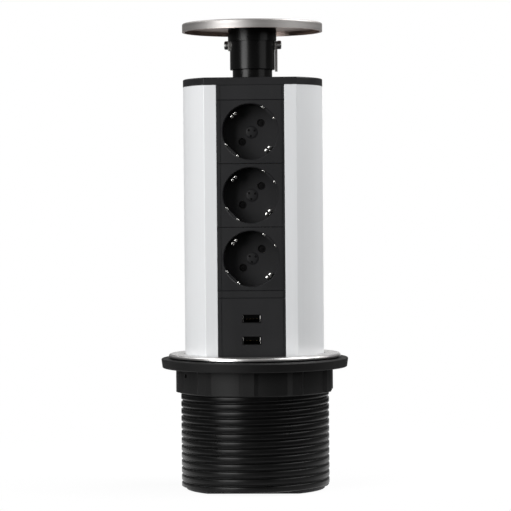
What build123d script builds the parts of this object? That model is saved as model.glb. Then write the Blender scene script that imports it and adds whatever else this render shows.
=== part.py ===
from build123d import *
import os
from math import cos, radians, sin, sqrt

# Pop-up desk socket, raised. Millimetres, +Z up, origin at the centre of the base, front at -Y.

# General clearances
CUT_OVERRUN = 1.0
RUNNING_GAP = 0.3
SEAT_GAP = 0.05
SIDE_PLAY = 0.1

# Tower profile
TOWER_RADIUS = 50.2
PROFILE_WALL = 1.8
PROFILE_LENGTH = 281.8
FRONT_LAND = 8.65
CORNER_RADIUS = 0.8
HOOK_THICKNESS = 1.5
HOOK_REACH = 4.2
PORT_GAP = 0.5
PORT_OUTER_RADIUS = 3.4
PORT_BORE_RADIUS = 2.0
PORT_WEB_WIDTH = 3.0
PORT_ANGLES = (45, 135, 200, 340)

# Base of the tower
BASE_CAP_THICKNESS = 4.0
STOP_PLATE_THICKNESS = 4.0
BASE_EDGE_FILLET = 0.8
INLET_BORE_RADIUS = 4.6
INLET_OFFSET = 18.0
BUSH_WALL = 2.2
BUSH_FLANGE_WIDTH = 2.4
BUSH_FLANGE_THICKNESS = 1.6
CLAMP_WIDTH = 30.0
CLAMP_HEIGHT = 12.0
CLAMP_POST_DEPTH = 7.0
CLAMP_BAR_DEPTH = 5.0
CLAMP_GRIP = 0.6
CLAMP_SCREW_SPACING = 20.0
CLAMP_SCREW_RADIUS = 1.5
CLAMP_SCREW_HEAD_RADIUS = 2.8
CLAMP_SCREW_HEAD_HEIGHT = 2.0

# Top cap and its screws
CAP_PROUD = 0.1
TOP_CAP_THICKNESS = 5.4
TOP_CAP_FILLET = 0.9
SCREW_SHANK_RADIUS = 1.9
SCREW_HEAD_RADIUS = 3.6
SCREW_HEAD_HEIGHT = 1.9
SCREW_GRIP_LENGTH = 12.0
SCREW_SOCKET_RADIUS = 1.5
SCREW_SOCKET_DEPTH = 1.2

# Modules on the flat front
MODULE_SIDE_LAND = 4.4
MODULE_END_LAND = 2.75
MODULE_GAP = 0.15
BLANK_STRIP_HEIGHT = 10.7
SPACER_HEIGHT = 5.2
FACE_CHAMFER = 0.25
FLANGE_THICKNESS = 2.0
FLANGE_REACH = 3.9
LEFT_GROOVE_INSET = 2.85
RIGHT_GROOVE_INSET = 1.45
GROOVE_WIDTH = 0.5
GROOVE_DEPTH = 0.4

# Socket front
RECESS_RADIUS = 19.75
RECESS_DEPTH = 17.5
RECESS_FLOOR = 2.0
RECESS_CHAMFER = 0.6
CUP_WALL = 1.95
RIB_WIDTH = 12.3
RIB_RISE = 1.5
RIB_SETBACK = 1.4
PIN_SPACING = 19.0
PIN_HOLE_RADIUS = 2.85
PIN_AXIS_ANGLE = 45
CENTRE_HOLE_RADIUS = 1.7
CENTRE_SCREW_RADIUS = 1.5
CENTRE_SCREW_HEAD_RADIUS = 3.0
CENTRE_SCREW_HEAD_HEIGHT = 0.8
CENTRE_SCREW_LENGTH = 11.0

# Earth strap of a socket
STRAP_THICKNESS = 0.8
STRAP_WIDTH = 5.0
STRAP_WALL_GAP = 1.05
CLIP_TOP_DEPTH = 3.8
CLIP_SHOULDER_DEPTH = 5.5
CLIP_NOSE_REACH = 2.4
CLIP_TIP_DEPTH = 9.5
CLIP_TIP_REACH = 0.4
CLIP_SLIT_WIDTH = 1.1
CLIP_SLIT_DEPTH = 12.5
STRAP_SLOT_MARGIN = 0.5

# Contact block and contacts
BACK_SIDE_INSET = 0.75
BACK_END_INSET = 1.75
BACK_DEPTH = 13.5
BACK_CORNER_CUT = 11.0
SLEEVE_BORE_RADIUS = 2.45
SLEEVE_WALL = 0.65
SLEEVE_LENGTH = 11.0
TAIL_WIDTH = 3.0
TAIL_THICKNESS = 0.8
BUSBAR_WIDTH = 5.0
BUSBAR_THICKNESS = 1.0
BUSBAR_STANDOFF = 3.0
EARTH_TAB_REACH = 2.3

# USB module
USB_PORT_WIDTH = 13.2
USB_PORT_HEIGHT = 5.9
USB_PORT_PITCH = 15.5
USB_LOWER_PORT_OFFSET = -7.7
USB_PORT_CORNER = 0.6
USB_PORT_LIP = 0.8
USB_SHELL_WALL = 0.4
USB_SHELL_LENGTH = 14.0
USB_TONGUE_SIDE_GAP = 0.7
USB_TONGUE_THICKNESS = 1.9
USB_TONGUE_TOP_GAP = 0.5
USB_TONGUE_SETBACK = 0.9
USB_BOX_WIDTH = 42.0
USB_BOX_HEIGHT = 41.0
USB_BOX_WALL = 1.6
USB_BOX_DEPTH = 28.0
BOARD_THICKNESS = 1.6
BOARD_MARGIN = 1.0
TRANSFORMER_WIDTH = 17.0
TRANSFORMER_HEIGHT = 15.0
TRANSFORMER_DEPTH = 9.0
TRANSFORMER_INSET = 2.4
CAPACITOR_RADIUS = 4.0
CAPACITOR_LENGTH = 9.5
CAPACITOR_INSET = 4.5
CAPACITOR_SPACING = 11.0

# Terminal block on the lower cover
TERMINAL_WIDTH = 42.0
TERMINAL_HEIGHT = 18.0
TERMINAL_DROP = 21.9
TERMINAL_DEPTH = 12.0
TERMINAL_POLE_RADIUS = 2.6
TERMINAL_POLE_PITCH = 8.0
TERMINAL_POLE_DEPTH = 6.0
POST_WIDTH = 6.0
POST_SPACING = 30.0

# Collar, trim ring and guides
COLLAR_BASE_HEIGHT = 2.5
COLLAR_LENGTH = 93.0
COLLAR_PLAY = 0.6
COLLAR_WALL = 2.7
COLLAR_FLANGE_WIDTH = 7.0
COLLAR_FLANGE_THICKNESS = 0.8
COLLAR_END_CHAMFER = 0.7
THREAD_PITCH = 5.3
THREAD_DEPTH = 1.15
THREAD_ROOT_WIDTH = 0.8
THREAD_FLANK_WIDTH = 0.7
THREAD_TOP_GAP = 4.0
THREAD_START_ANGLE = -44
TRIM_OVERHANG = 1.65
TRIM_BORE_STEP = 0.1
TRIM_THICKNESS = 2.2
TRIM_EDGE_FILLET = 1.4
GUIDE_PLAY = 0.4
GUIDE_STEP_UNDER_LID = 0.4
UPPER_GUIDE_HEIGHT = 14.0
LOWER_GUIDE_HEIGHT = 12.0
PAD_MARGIN = 0.45
PAD_WIDTH = 3.6
PAD_HEIGHT = 9.0
PAD_DEPTH = 2.6

# Clamp washer and nut
WASHER_WIDTH = 13.85
WASHER_TAPER = 0.9
WASHER_THICKNESS = 6.7
WASHER_FILLET = 0.8
NUT_HEIGHT = 17.5
NUT_WALL = 1.9
NUT_RIB_RISE = 1.8
NUT_RIB_COUNT = 10
NUT_RIB_BASE_HALF_ANGLE = 8.6
NUT_RIB_TOP_HALF_ANGLE = 4.0
NUT_RIB_PHASE = -91.8
NUT_CHAMFER = 0.8
NUT_LOCK_HOLE_RADIUS = 1.4
NUT_LOCK_HOLE_DROP = 4.3
NUT_LOCK_HOLE_ANGLE = -149.4
THREAD_PLAY = 0.3

# Lid, neck and stem
LID_PLAY = 0.35
LID_HEIGHT = 6.3
LID_RECESS_DEPTH = 3.0
LID_RIM_WIDTH = 1.8
LID_TOP_FILLET = 1.2
LID_GAP_HEIGHT = 34.1
STEM_RADIUS = 14.3
STEM_WALL = 2.1
STEM_EXPOSED_LENGTH = 6.8
STEM_FLANGE_WIDTH = 6.7
STEM_FLANGE_THICKNESS = 2.2
STEM_FLOOR_THICKNESS = 2.5
STEM_SCREW_COUNT = 3
STEM_SCREW_INSET = 3.2
STEM_SCREW_RADIUS = 1.4
STEM_SCREW_HEAD_RADIUS = 2.6
STEM_SCREW_HEAD_HEIGHT = 1.8
STEM_SCREW_GRIP = 3.2
NECK_WALL = 1.55
NECK_UPPER_STEP = 1.55
NECK_UPPER_LENGTH = 8.7
NECK_TOP_WALL = 2.0
NECK_EDGE_FILLET = 0.5
BRACKET_THICKNESS = 1.0
BRACKET_WIDTH = 7.0
BRACKET_LEG_MARGIN = 4.0
BRACKET_STANDOFF = 0.15
LID_SCREW_DROP = 12.3
LID_SCREW_HEAD_RADIUS = 3.1
LID_SCREW_HEAD_HEIGHT = 2.9
LID_SCREW_RADIUS = 1.5
LID_SCREW_TIP_GAP = 0.7
LID_SCREW_DRIVE_RADIUS = 1.3
LID_SCREW_DRIVE_DEPTH = 1.2
EARTH_STRIP_THICKNESS = 0.8
EARTH_STRIP_WIDTH = 5.0
EARTH_STRIP_OVERHANG = 1.1
EARTH_STRIP_EDGE_DEPTH = 0.9
SPRING_PLAY = 1.7
SPRING_WIRE = 1.2

# Widths across the front
SLOT_WIDTH = 2 * (RECESS_RADIUS + MODULE_SIDE_LAND)
FACE_WIDTH = SLOT_WIDTH - 2 * SIDE_PLAY
FLANGE_WIDTH = SLOT_WIDTH + 2 * FLANGE_REACH
CHANNEL_HALF_WIDTH = FLANGE_WIDTH / 2 + SIDE_PLAY
FLAT_DISTANCE = sqrt(TOWER_RADIUS ** 2 - (SLOT_WIDTH / 2 + FRONT_LAND) ** 2)
LEFT_GROOVE_OFFSET = FACE_WIDTH / 2 - LEFT_GROOVE_INSET
RIGHT_GROOVE_OFFSET = FACE_WIDTH / 2 - RIGHT_GROOVE_INSET
PAD_INNER_OFFSET = SLOT_WIDTH / 2 + PAD_MARGIN
MODULE_PITCH = 2 * (RECESS_RADIUS + MODULE_END_LAND)
BACK_WIDTH = 2 * (RECESS_RADIUS - BACK_SIDE_INSET)
BACK_HEIGHT = 2 * (RECESS_RADIUS - BACK_END_INSET)
USB_TONGUE_WIDTH = USB_PORT_WIDTH - 2 * (USB_SHELL_WALL + USB_TONGUE_SIDE_GAP)
USB_TONGUE_RAISE = (USB_PORT_HEIGHT - USB_TONGUE_THICKNESS) / 2 - USB_SHELL_WALL - USB_TONGUE_TOP_GAP

# Radii from the axis outwards
INNER_RADIUS = TOWER_RADIUS - PROFILE_WALL
PORT_CENTRE_RADIUS = INNER_RADIUS - PORT_OUTER_RADIUS - PORT_GAP
COLLAR_BORE_RADIUS = TOWER_RADIUS + COLLAR_PLAY
THREAD_CREST_RADIUS = COLLAR_BORE_RADIUS + COLLAR_WALL
COLLAR_FLANGE_RADIUS = THREAD_CREST_RADIUS + COLLAR_FLANGE_WIDTH
TRIM_BORE_RADIUS = COLLAR_BORE_RADIUS + TRIM_BORE_STEP
TRIM_OUTER_RADIUS = COLLAR_FLANGE_RADIUS + TRIM_OVERHANG
GUIDE_FACE = FLAT_DISTANCE + GUIDE_PLAY
GUIDE_RADIUS = COLLAR_BORE_RADIUS - SEAT_GAP
CLAMP_BORE_RADIUS = THREAD_CREST_RADIUS + THREAD_PLAY
WASHER_RADIUS = CLAMP_BORE_RADIUS + WASHER_WIDTH
NUT_BODY_RADIUS = CLAMP_BORE_RADIUS + NUT_WALL
NUT_RIB_RADIUS = NUT_BODY_RADIUS + NUT_RIB_RISE
LID_RADIUS = TRIM_BORE_RADIUS - LID_PLAY
STEM_FLANGE_RADIUS = STEM_RADIUS + STEM_FLANGE_WIDTH
STEM_SCREW_CIRCLE_RADIUS = STEM_FLANGE_RADIUS - STEM_SCREW_INSET
SPRING_OUTER_RADIUS = STEM_RADIUS - STEM_WALL - SPRING_PLAY
NECK_BORE_RADIUS = STEM_RADIUS + RUNNING_GAP
NECK_RADIUS = NECK_BORE_RADIUS + NECK_WALL
NECK_UPPER_RADIUS = NECK_RADIUS + NECK_UPPER_STEP
BRACKET_INNER_HALF = NECK_RADIUS + BRACKET_STANDOFF
BRACKET_OUTER_HALF = BRACKET_INNER_HALF + BRACKET_THICKNESS

# Places along the axis, from the base up
STOP_PLATE_BASE = BASE_CAP_THICKNESS
PROFILE_BASE = STOP_PLATE_BASE + STOP_PLATE_THICKNESS
PROFILE_TOP = PROFILE_BASE + PROFILE_LENGTH
CAP_TOP = PROFILE_TOP + TOP_CAP_THICKNESS
NECK_BASE = CAP_TOP + STEM_EXPOSED_LENGTH
EARTH_STRIP_BASE = NECK_BASE - EARTH_STRIP_OVERHANG
LID_TRAVEL = EARTH_STRIP_BASE - CAP_TOP - RUNNING_GAP
LID_BASE = CAP_TOP + LID_GAP_HEIGHT
LID_CEILING = LID_BASE + LID_RECESS_DEPTH
LID_SCREW_HEIGHT = LID_CEILING - LID_SCREW_DROP
BRACKET_LEG_LENGTH = LID_SCREW_DROP + BRACKET_LEG_MARGIN
NECK_TOP = LID_CEILING - BRACKET_THICKNESS
NECK_CEILING = NECK_TOP - NECK_TOP_WALL
STEM_BASE = PROFILE_TOP - STEM_FLANGE_THICKNESS
STEM_FLOOR = STEM_BASE + STEM_FLOOR_THICKNESS
STEM_TOP = NECK_CEILING - LID_TRAVEL - RUNNING_GAP
COLLAR_TOP_HEIGHT = COLLAR_BASE_HEIGHT + COLLAR_LENGTH
TRIM_TOP = COLLAR_TOP_HEIGHT + TRIM_THICKNESS
GUIDE_TOP = TRIM_TOP - LID_HEIGHT - LID_TRAVEL - GUIDE_STEP_UNDER_LID
LOWER_GUIDE_BASE = PROFILE_BASE + RUNNING_GAP
WASHER_TOP = COLLAR_TOP_HEIGHT - COLLAR_FLANGE_THICKNESS - RUNNING_GAP
NUT_TOP = WASHER_TOP - WASHER_THICKNESS - RUNNING_GAP
NUT_BASE = NUT_TOP - NUT_HEIGHT

# Heights of the module centres, from the top down
SOCKET_NAMES = ("upper", "middle", "lower")
SOCKET_TOP = PROFILE_TOP - BLANK_STRIP_HEIGHT
SOCKET_HEIGHTS = [SOCKET_TOP - MODULE_PITCH * (index + 1 / 2) for index in range(len(SOCKET_NAMES))]
SPACER_TOP = SOCKET_TOP - MODULE_PITCH * len(SOCKET_NAMES)
USB_CENTRE_HEIGHT = SPACER_TOP - SPACER_HEIGHT - MODULE_PITCH / 2
LOWER_COVER_TOP = USB_CENTRE_HEIGHT - MODULE_PITCH / 2
LOWER_COVER_HEIGHT = LOWER_COVER_TOP - PROFILE_BASE
TERMINAL_CENTRE_HEIGHT = LOWER_COVER_TOP - TERMINAL_DROP
USB_INNER_HALF_HEIGHT = USB_BOX_HEIGHT / 2 - USB_BOX_WALL
TRANSFORMER_OFFSET = USB_INNER_HALF_HEIGHT - TRANSFORMER_INSET - TRANSFORMER_HEIGHT / 2
CAPACITOR_OFFSET = USB_INNER_HALF_HEIGHT - CAPACITOR_INSET - CAPACITOR_RADIUS

# Depths behind the flat front
FACE_THICKNESS = PROFILE_WALL + SIDE_PLAY
FLANGE_BACK = FACE_THICKNESS + FLANGE_THICKNESS
CUP_RADIUS = RECESS_RADIUS + CUP_WALL
CUP_DEPTH = RECESS_DEPTH + RECESS_FLOOR
STRAP_RISER_RADIUS = RECESS_RADIUS - STRAP_WALL_GAP
CLIP_NOSE_RADIUS = STRAP_RISER_RADIUS - CLIP_NOSE_REACH
CLIP_TIP_RADIUS = CLIP_NOSE_RADIUS - CLIP_TIP_REACH
EARTH_TAB_RADIUS = STRAP_RISER_RADIUS + EARTH_TAB_REACH
SLEEVE_RADIUS = SLEEVE_BORE_RADIUS + SLEEVE_WALL
BACK_FACE_DEPTH = CUP_DEPTH + BACK_DEPTH
BUSBAR_DEPTH = BACK_FACE_DEPTH + BUSBAR_STANDOFF
TERMINAL_BACK_DEPTH = BUSBAR_DEPTH
PIN_ARM = PIN_SPACING / 2 * cos(radians(PIN_AXIS_ANGLE))
EARTH_TAB_ARM = EARTH_TAB_RADIUS * cos(radians(PIN_AXIS_ANGLE))


def front_frame(height):
    """Frame on the flat front at a height: X right, Y up, Z out of the face."""
    return Plane(origin=(0, -FLAT_DISTANCE, height), x_dir=(1, 0, 0), z_dir=(0, -1, 0))


def d_outline(radius, flat):
    """Circle cut off by the straight front at a distance from its centre, with soft corners."""
    outline = Circle(radius) & Pos(0, radius - flat) * Rectangle(3 * radius, 2 * radius)
    return fillet(outline.vertices().group_by(Axis.Y)[0], CORNER_RADIUS)


def tube(outer_radius, inner_radius, base, top):
    """Upright tube between two heights."""
    section = Circle(outer_radius) - Circle(inner_radius)
    return extrude(Pos(0, 0, base) * section, top - base)


def rod(radius, base, top):
    """Upright rod between two heights."""
    return extrude(Pos(0, 0, base) * Circle(radius), top - base)


def bar(x_span, y_span, z_span):
    """Block between two places along each axis."""
    size = [high - low for low, high in (x_span, y_span, z_span)]
    middle = [(low + high) / 2 for low, high in (x_span, y_span, z_span)]
    return Pos(*middle) * Box(*size)


def group(solids):
    """Several loose solids kept as one sub-part."""
    return Compound(children=[solid for item in solids for solid in item.solids()])


def countersunk_screw(head_top, direction):
    """Countersunk screw with a socket, its head face at a height and its shank along direction."""
    head = Cone(SCREW_SHANK_RADIUS, SCREW_HEAD_RADIUS, SCREW_HEAD_HEIGHT)
    head = Pos(0, 0, -SCREW_HEAD_HEIGHT / 2) * head
    shank_length = TOP_CAP_THICKNESS + SCREW_GRIP_LENGTH
    shank = rod(SCREW_SHANK_RADIUS, -shank_length, -SCREW_HEAD_HEIGHT)
    socket = rod(SCREW_SOCKET_RADIUS, -SCREW_SOCKET_DEPTH, CUT_OVERRUN)
    screw = head + shank - socket
    if direction > 0:
        screw = Rot(180, 0, 0) * screw
    return Pos(0, 0, head_top) * screw


def port_places():
    """Places of the four screw ports of the profile."""
    return [Pos(PORT_CENTRE_RADIUS * cos(radians(angle)), PORT_CENTRE_RADIUS * sin(radians(angle)), 0)
            for angle in PORT_ANGLES]


def screw_hole(head_top, direction):
    """Clearance hole with a countersink for one of the screws above."""
    cone_length = SCREW_HEAD_HEIGHT
    wide = SCREW_HEAD_RADIUS + SIDE_PLAY
    narrow = SCREW_SHANK_RADIUS + SIDE_PLAY
    sink = Pos(0, 0, -cone_length / 2) * Cone(narrow, wide, cone_length)
    mouth = rod(wide, 0, CUT_OVERRUN)
    hole = rod(narrow, -TOP_CAP_THICKNESS - STOP_PLATE_THICKNESS - CUT_OVERRUN, 0)
    cutter = sink + mouth + hole
    if direction > 0:
        cutter = Rot(180, 0, 0) * cutter
    return Pos(0, 0, head_top) * cutter


# Tower: profile, caps and their screws


def tower_profile():
    """D-section extrusion with an open front, a channel each side of it and four screw ports."""
    section = d_outline(TOWER_RADIUS, FLAT_DISTANCE)
    section -= d_outline(INNER_RADIUS, FLAT_DISTANCE - PROFILE_WALL)
    section -= Pos(0, -FLAT_DISTANCE) * Rectangle(SLOT_WIDTH, 3 * PROFILE_WALL)
    channel_back = FLANGE_BACK + SIDE_PLAY
    web_depth = channel_back + HOOK_THICKNESS - PROFILE_WALL / 2
    for side in (-1, 1):
        web_x = side * (CHANNEL_HALF_WIDTH + HOOK_THICKNESS / 2)
        web_y = -FLAT_DISTANCE + PROFILE_WALL / 2 + web_depth / 2
        section += Pos(web_x, web_y) * Rectangle(HOOK_THICKNESS, web_depth)
        hook_x = side * (CHANNEL_HALF_WIDTH + HOOK_THICKNESS - HOOK_REACH / 2)
        hook_y = -FLAT_DISTANCE + channel_back + HOOK_THICKNESS / 2
        section += Pos(hook_x, hook_y) * Rectangle(HOOK_REACH, HOOK_THICKNESS)
    web_length = INNER_RADIUS + PROFILE_WALL / 2 - PORT_CENTRE_RADIUS
    for place, angle in zip(port_places(), PORT_ANGLES):
        section += place * Circle(PORT_OUTER_RADIUS)
        web = Pos(web_length / 2, 0) * Rectangle(web_length, PORT_WEB_WIDTH)
        section += place * Rot(0, 0, angle) * web
    for place in port_places():
        section -= place * Circle(PORT_BORE_RADIUS)
    return extrude(Pos(0, 0, PROFILE_BASE) * section, PROFILE_LENGTH)


def top_cap():
    """Black end cap with the stem's hole and four countersunk holes."""
    outline = d_outline(TOWER_RADIUS + CAP_PROUD, FLAT_DISTANCE + CAP_PROUD)
    cap = extrude(Pos(0, 0, PROFILE_TOP) * outline, TOP_CAP_THICKNESS)
    cap = fillet(cap.faces().sort_by(Axis.Z)[-1].edges(), TOP_CAP_FILLET)
    cap -= rod(STEM_RADIUS + SIDE_PLAY, PROFILE_TOP - CUT_OVERRUN, CAP_TOP + CUT_OVERRUN)
    for place in port_places():
        cap -= place * screw_hole(CAP_TOP, -1)
    pilot_top = PROFILE_TOP + STEM_SCREW_GRIP + SIDE_PLAY
    for place in stem_screw_places():
        cap -= place * rod(STEM_SCREW_RADIUS + SEAT_GAP, PROFILE_TOP - CUT_OVERRUN, pilot_top)
    return cap


def top_cap_screws():
    """Four countersunk screws into the profile's ports."""
    return group([place * countersunk_screw(CAP_TOP, -1) for place in port_places()])


def stem_screw_places():
    """Places of the screws that hold the stem's flange under the cap."""
    return [Rot(0, 0, 360 * index / STEM_SCREW_COUNT + 90) * Pos(STEM_SCREW_CIRCLE_RADIUS, 0, 0)
            for index in range(STEM_SCREW_COUNT)]


def lid_stem():
    """Guide tube with a flange under the cap and a slot each side for the lid's screws."""
    flange = rod(STEM_FLANGE_RADIUS, STEM_BASE, PROFILE_TOP)
    stem = flange + rod(STEM_RADIUS, STEM_BASE, STEM_TOP)
    stem -= rod(STEM_RADIUS - STEM_WALL, STEM_FLOOR, STEM_TOP + CUT_OVERRUN)
    slot_half = LID_SCREW_RADIUS + RUNNING_GAP
    slot_base = LID_SCREW_HEIGHT - LID_TRAVEL - slot_half
    slot_top = LID_SCREW_HEIGHT + slot_half
    reach = STEM_RADIUS + CUT_OVERRUN
    stem -= bar((-reach, reach), (-slot_half, slot_half), (slot_base, slot_top))
    hole = rod(STEM_SCREW_RADIUS + SIDE_PLAY, STEM_BASE - CUT_OVERRUN, PROFILE_TOP + CUT_OVERRUN)
    for place in stem_screw_places():
        stem -= place * hole
    return stem


def lid_stem_screws():
    """Screws from below through the stem's flange into the cap."""
    head_base = STEM_BASE - STEM_SCREW_HEAD_HEIGHT
    screw = rod(STEM_SCREW_HEAD_RADIUS, head_base, STEM_BASE)
    screw += rod(STEM_SCREW_RADIUS, STEM_BASE, PROFILE_TOP + STEM_SCREW_GRIP)
    return group([place * screw for place in stem_screw_places()])


def pop_spring():
    """Space of the compression spring between the stem's floor and the neck."""
    return tube(SPRING_OUTER_RADIUS, SPRING_OUTER_RADIUS - SPRING_WIRE, STEM_FLOOR, NECK_CEILING)


def base_cap():
    """D-shaped end cap with the bush's hole and four countersunk holes."""
    outline = d_outline(TOWER_RADIUS, FLAT_DISTANCE)
    cap = extrude(outline, BASE_CAP_THICKNESS)
    cap = fillet(cap.faces().sort_by(Axis.Z)[0].edges(), BASE_EDGE_FILLET)
    cap -= inlet_hole()
    for place in port_places():
        cap -= place * screw_hole(0, 1)
    return cap


def inlet_hole():
    """Hole for the cord's bush through the base."""
    radius = INLET_BORE_RADIUS + BUSH_WALL + SEAT_GAP
    return Pos(0, INLET_OFFSET, 0) * rod(radius, -CUT_OVERRUN, PROFILE_BASE + CUT_OVERRUN)


def stop_plate():
    """Round plate that meets the lower guide at the top of the travel, with half of the cord clamp."""
    plate = rod(TOWER_RADIUS, STOP_PLATE_BASE, PROFILE_BASE)
    channel_y = INLET_OFFSET
    post_back = channel_y - CLAMP_GRIP / 2
    post_front = post_back - CLAMP_POST_DEPTH
    post_base = PROFILE_BASE + BUSH_FLANGE_THICKNESS + SIDE_PLAY
    flange_radius = INLET_BORE_RADIUS + BUSH_WALL + BUSH_FLANGE_WIDTH + SIDE_PLAY
    post = bar((-CLAMP_WIDTH / 2, CLAMP_WIDTH / 2), (post_front, post_back),
               (PROFILE_BASE, post_base + CLAMP_HEIGHT))
    post -= Pos(0, channel_y, 0) * rod(flange_radius, PROFILE_BASE, post_base)
    plate += post
    plate -= inlet_hole()
    channel_top = post_base + CLAMP_HEIGHT + CUT_OVERRUN
    plate -= Pos(0, channel_y, 0) * rod(INLET_BORE_RADIUS, post_base, channel_top)
    plate -= clamp_screw_cutter(CLAMP_SCREW_RADIUS + SEAT_GAP)
    for place in port_places():
        plate -= place * screw_hole(0, 1)
    return plate


def clamp_screw_cutter(radius):
    """Both screw holes along Y through the cord clamp."""
    length = 2 * (CLAMP_POST_DEPTH + CLAMP_BAR_DEPTH)
    height = clamp_centre_height()
    holes = [Pos(side * CLAMP_SCREW_SPACING / 2, INLET_OFFSET, height) * Rot(90, 0, 0)
             * Cylinder(radius, length) for side in (-1, 1)]
    return holes[0] + holes[1]


def clamp_centre_height():
    """Height of the cord clamp's screws."""
    return PROFILE_BASE + BUSH_FLANGE_THICKNESS + SIDE_PLAY + CLAMP_HEIGHT / 2


def cord_clamp():
    """Loose half of the cord clamp, screwed against the post."""
    half_height = CLAMP_HEIGHT / 2
    centre = clamp_centre_height()
    front = INLET_OFFSET + CLAMP_GRIP / 2
    body = bar((-CLAMP_WIDTH / 2, CLAMP_WIDTH / 2), (front, front + CLAMP_BAR_DEPTH),
               (centre - half_height, centre + half_height))
    body -= Pos(0, INLET_OFFSET, 0) * rod(INLET_BORE_RADIUS, PROFILE_BASE, centre + CLAMP_HEIGHT)
    return body - clamp_screw_cutter(CLAMP_SCREW_RADIUS + SIDE_PLAY)


def cord_clamp_screws():
    """Two pan head screws along Y through the clamp."""
    back = INLET_OFFSET + CLAMP_GRIP / 2 + CLAMP_BAR_DEPTH
    screws = []
    for side in (-1, 1):
        seat = Plane(origin=(side * CLAMP_SCREW_SPACING / 2, back, clamp_centre_height()), z_dir=(0, 1, 0))
        head = extrude(seat * Circle(CLAMP_SCREW_HEAD_RADIUS), CLAMP_SCREW_HEAD_HEIGHT)
        shank_length = CLAMP_BAR_DEPTH + CLAMP_GRIP + CLAMP_POST_DEPTH - CUT_OVERRUN
        shank = extrude(seat * Circle(CLAMP_SCREW_RADIUS), -shank_length)
        screws.append(head + shank)
    return group(screws)


def base_screws():
    """Four countersunk screws from below into the profile's ports."""
    return group([place * countersunk_screw(0, 1) for place in port_places()])


def inlet_bush():
    """Rubber bush with a flange inside the base."""
    outer = INLET_BORE_RADIUS + BUSH_WALL
    bush = tube(outer, INLET_BORE_RADIUS, 0, PROFILE_BASE)
    bush += tube(outer + BUSH_FLANGE_WIDTH, INLET_BORE_RADIUS, PROFILE_BASE,
                 PROFILE_BASE + BUSH_FLANGE_THICKNESS)
    return Pos(0, INLET_OFFSET, 0) * bush


# Modules on the front


def module_plate(height):
    """Face that fills the slot and the flange behind it, in the frame of the front."""
    face_height = height - MODULE_GAP
    face = extrude(Rectangle(FACE_WIDTH, face_height), -FACE_THICKNESS)
    face = chamfer(face.faces().sort_by(Axis.Z)[-1].edges(), FACE_CHAMFER)
    for groove_x in (-LEFT_GROOVE_OFFSET, RIGHT_GROOVE_OFFSET):
        face -= Pos(groove_x, 0, 0) * Box(GROOVE_WIDTH, height, 2 * GROOVE_DEPTH)
    flange = Pos(0, 0, -FACE_THICKNESS) * Rectangle(FLANGE_WIDTH, face_height)
    return face + extrude(flange, -FLANGE_THICKNESS)


def blank(top, height):
    """Blank cover whose top edge is at a height of the tower."""
    return front_frame(top - height / 2) * module_plate(height)


def socket_front():
    """Socket face with its round recess, guide ribs, pin holes and clip slots."""
    body = module_plate(MODULE_PITCH) + rod(CUP_RADIUS, -CUP_DEPTH, -FACE_THICKNESS)
    body -= rod(RECESS_RADIUS, -RECESS_DEPTH, CUT_OVERRUN)
    rim = Cone(RECESS_RADIUS, RECESS_RADIUS + RECESS_CHAMFER, RECESS_CHAMFER)
    body -= Pos(0, 0, -RECESS_CHAMFER / 2) * rim
    rib_outer = RECESS_RADIUS + CUP_WALL / 2
    rib_inner = RECESS_RADIUS - RIB_RISE
    rib = bar((rib_inner, rib_outer), (-RIB_WIDTH / 2, RIB_WIDTH / 2), (-RECESS_DEPTH, -RIB_SETBACK))
    for angle in (PIN_AXIS_ANGLE, PIN_AXIS_ANGLE + 180):
        body += Rot(0, 0, angle) * rib
        pin_hole = rod(PIN_HOLE_RADIUS, -CUP_DEPTH - CUT_OVERRUN, -RECESS_DEPTH + CUT_OVERRUN)
        body -= Rot(0, 0, angle) * Pos(PIN_SPACING / 2, 0, 0) * pin_hole
        body -= Rot(0, 0, angle + 90) * strap_slot()
    return body - rod(CENTRE_HOLE_RADIUS, -CUP_DEPTH - CUT_OVERRUN, 0)


def strap_slot():
    """Slot in the recess floor for one leg of the earth strap."""
    margin = STRAP_SLOT_MARGIN
    half_thickness = STRAP_THICKNESS / 2 + margin / 2
    half_width = STRAP_WIDTH / 2 + margin
    return bar((STRAP_RISER_RADIUS - half_thickness, STRAP_RISER_RADIUS + half_thickness),
               (-half_width, half_width), (-CUP_DEPTH - CUT_OVERRUN, -RECESS_DEPTH + margin))


def earth_strap():
    """Bent strap behind the recess floor with a slit, sprung clip at each end and a busbar tab."""
    floor_depth = CUP_DEPTH + STRAP_THICKNESS / 2
    leg = [(STRAP_RISER_RADIUS, -floor_depth), (STRAP_RISER_RADIUS, -CLIP_SHOULDER_DEPTH),
           (CLIP_NOSE_RADIUS, -CLIP_TOP_DEPTH), (CLIP_TIP_RADIUS, -CLIP_TIP_DEPTH)]
    mirrored = [(-x, y) for x, y in reversed(leg)]
    section = trace(Polyline(*mirrored, *leg), line_width=STRAP_THICKNESS)
    strap = extrude(Plane.XZ * section, STRAP_WIDTH / 2, both=True)
    strap -= rod(CENTRE_SCREW_RADIUS + SIDE_PLAY, -CUP_DEPTH - 2 * STRAP_THICKNESS, -RECESS_DEPTH)
    strap -= bar((-RECESS_RADIUS, RECESS_RADIUS), (-CLIP_SLIT_WIDTH / 2, CLIP_SLIT_WIDTH / 2),
                 (-CLIP_SLIT_DEPTH, CUT_OVERRUN))
    tab_end = EARTH_TAB_RADIUS + STRAP_THICKNESS
    width_span = (-STRAP_WIDTH / 2, STRAP_WIDTH / 2)
    tab = bar((STRAP_RISER_RADIUS, tab_end), width_span, (-CUP_DEPTH - STRAP_THICKNESS, -CUP_DEPTH))
    tail = bar((EARTH_TAB_RADIUS, tab_end), width_span, (-BUSBAR_DEPTH, -CUP_DEPTH))
    return Rot(0, 0, PIN_AXIS_ANGLE - 90) * (strap + tab + tail)


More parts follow.
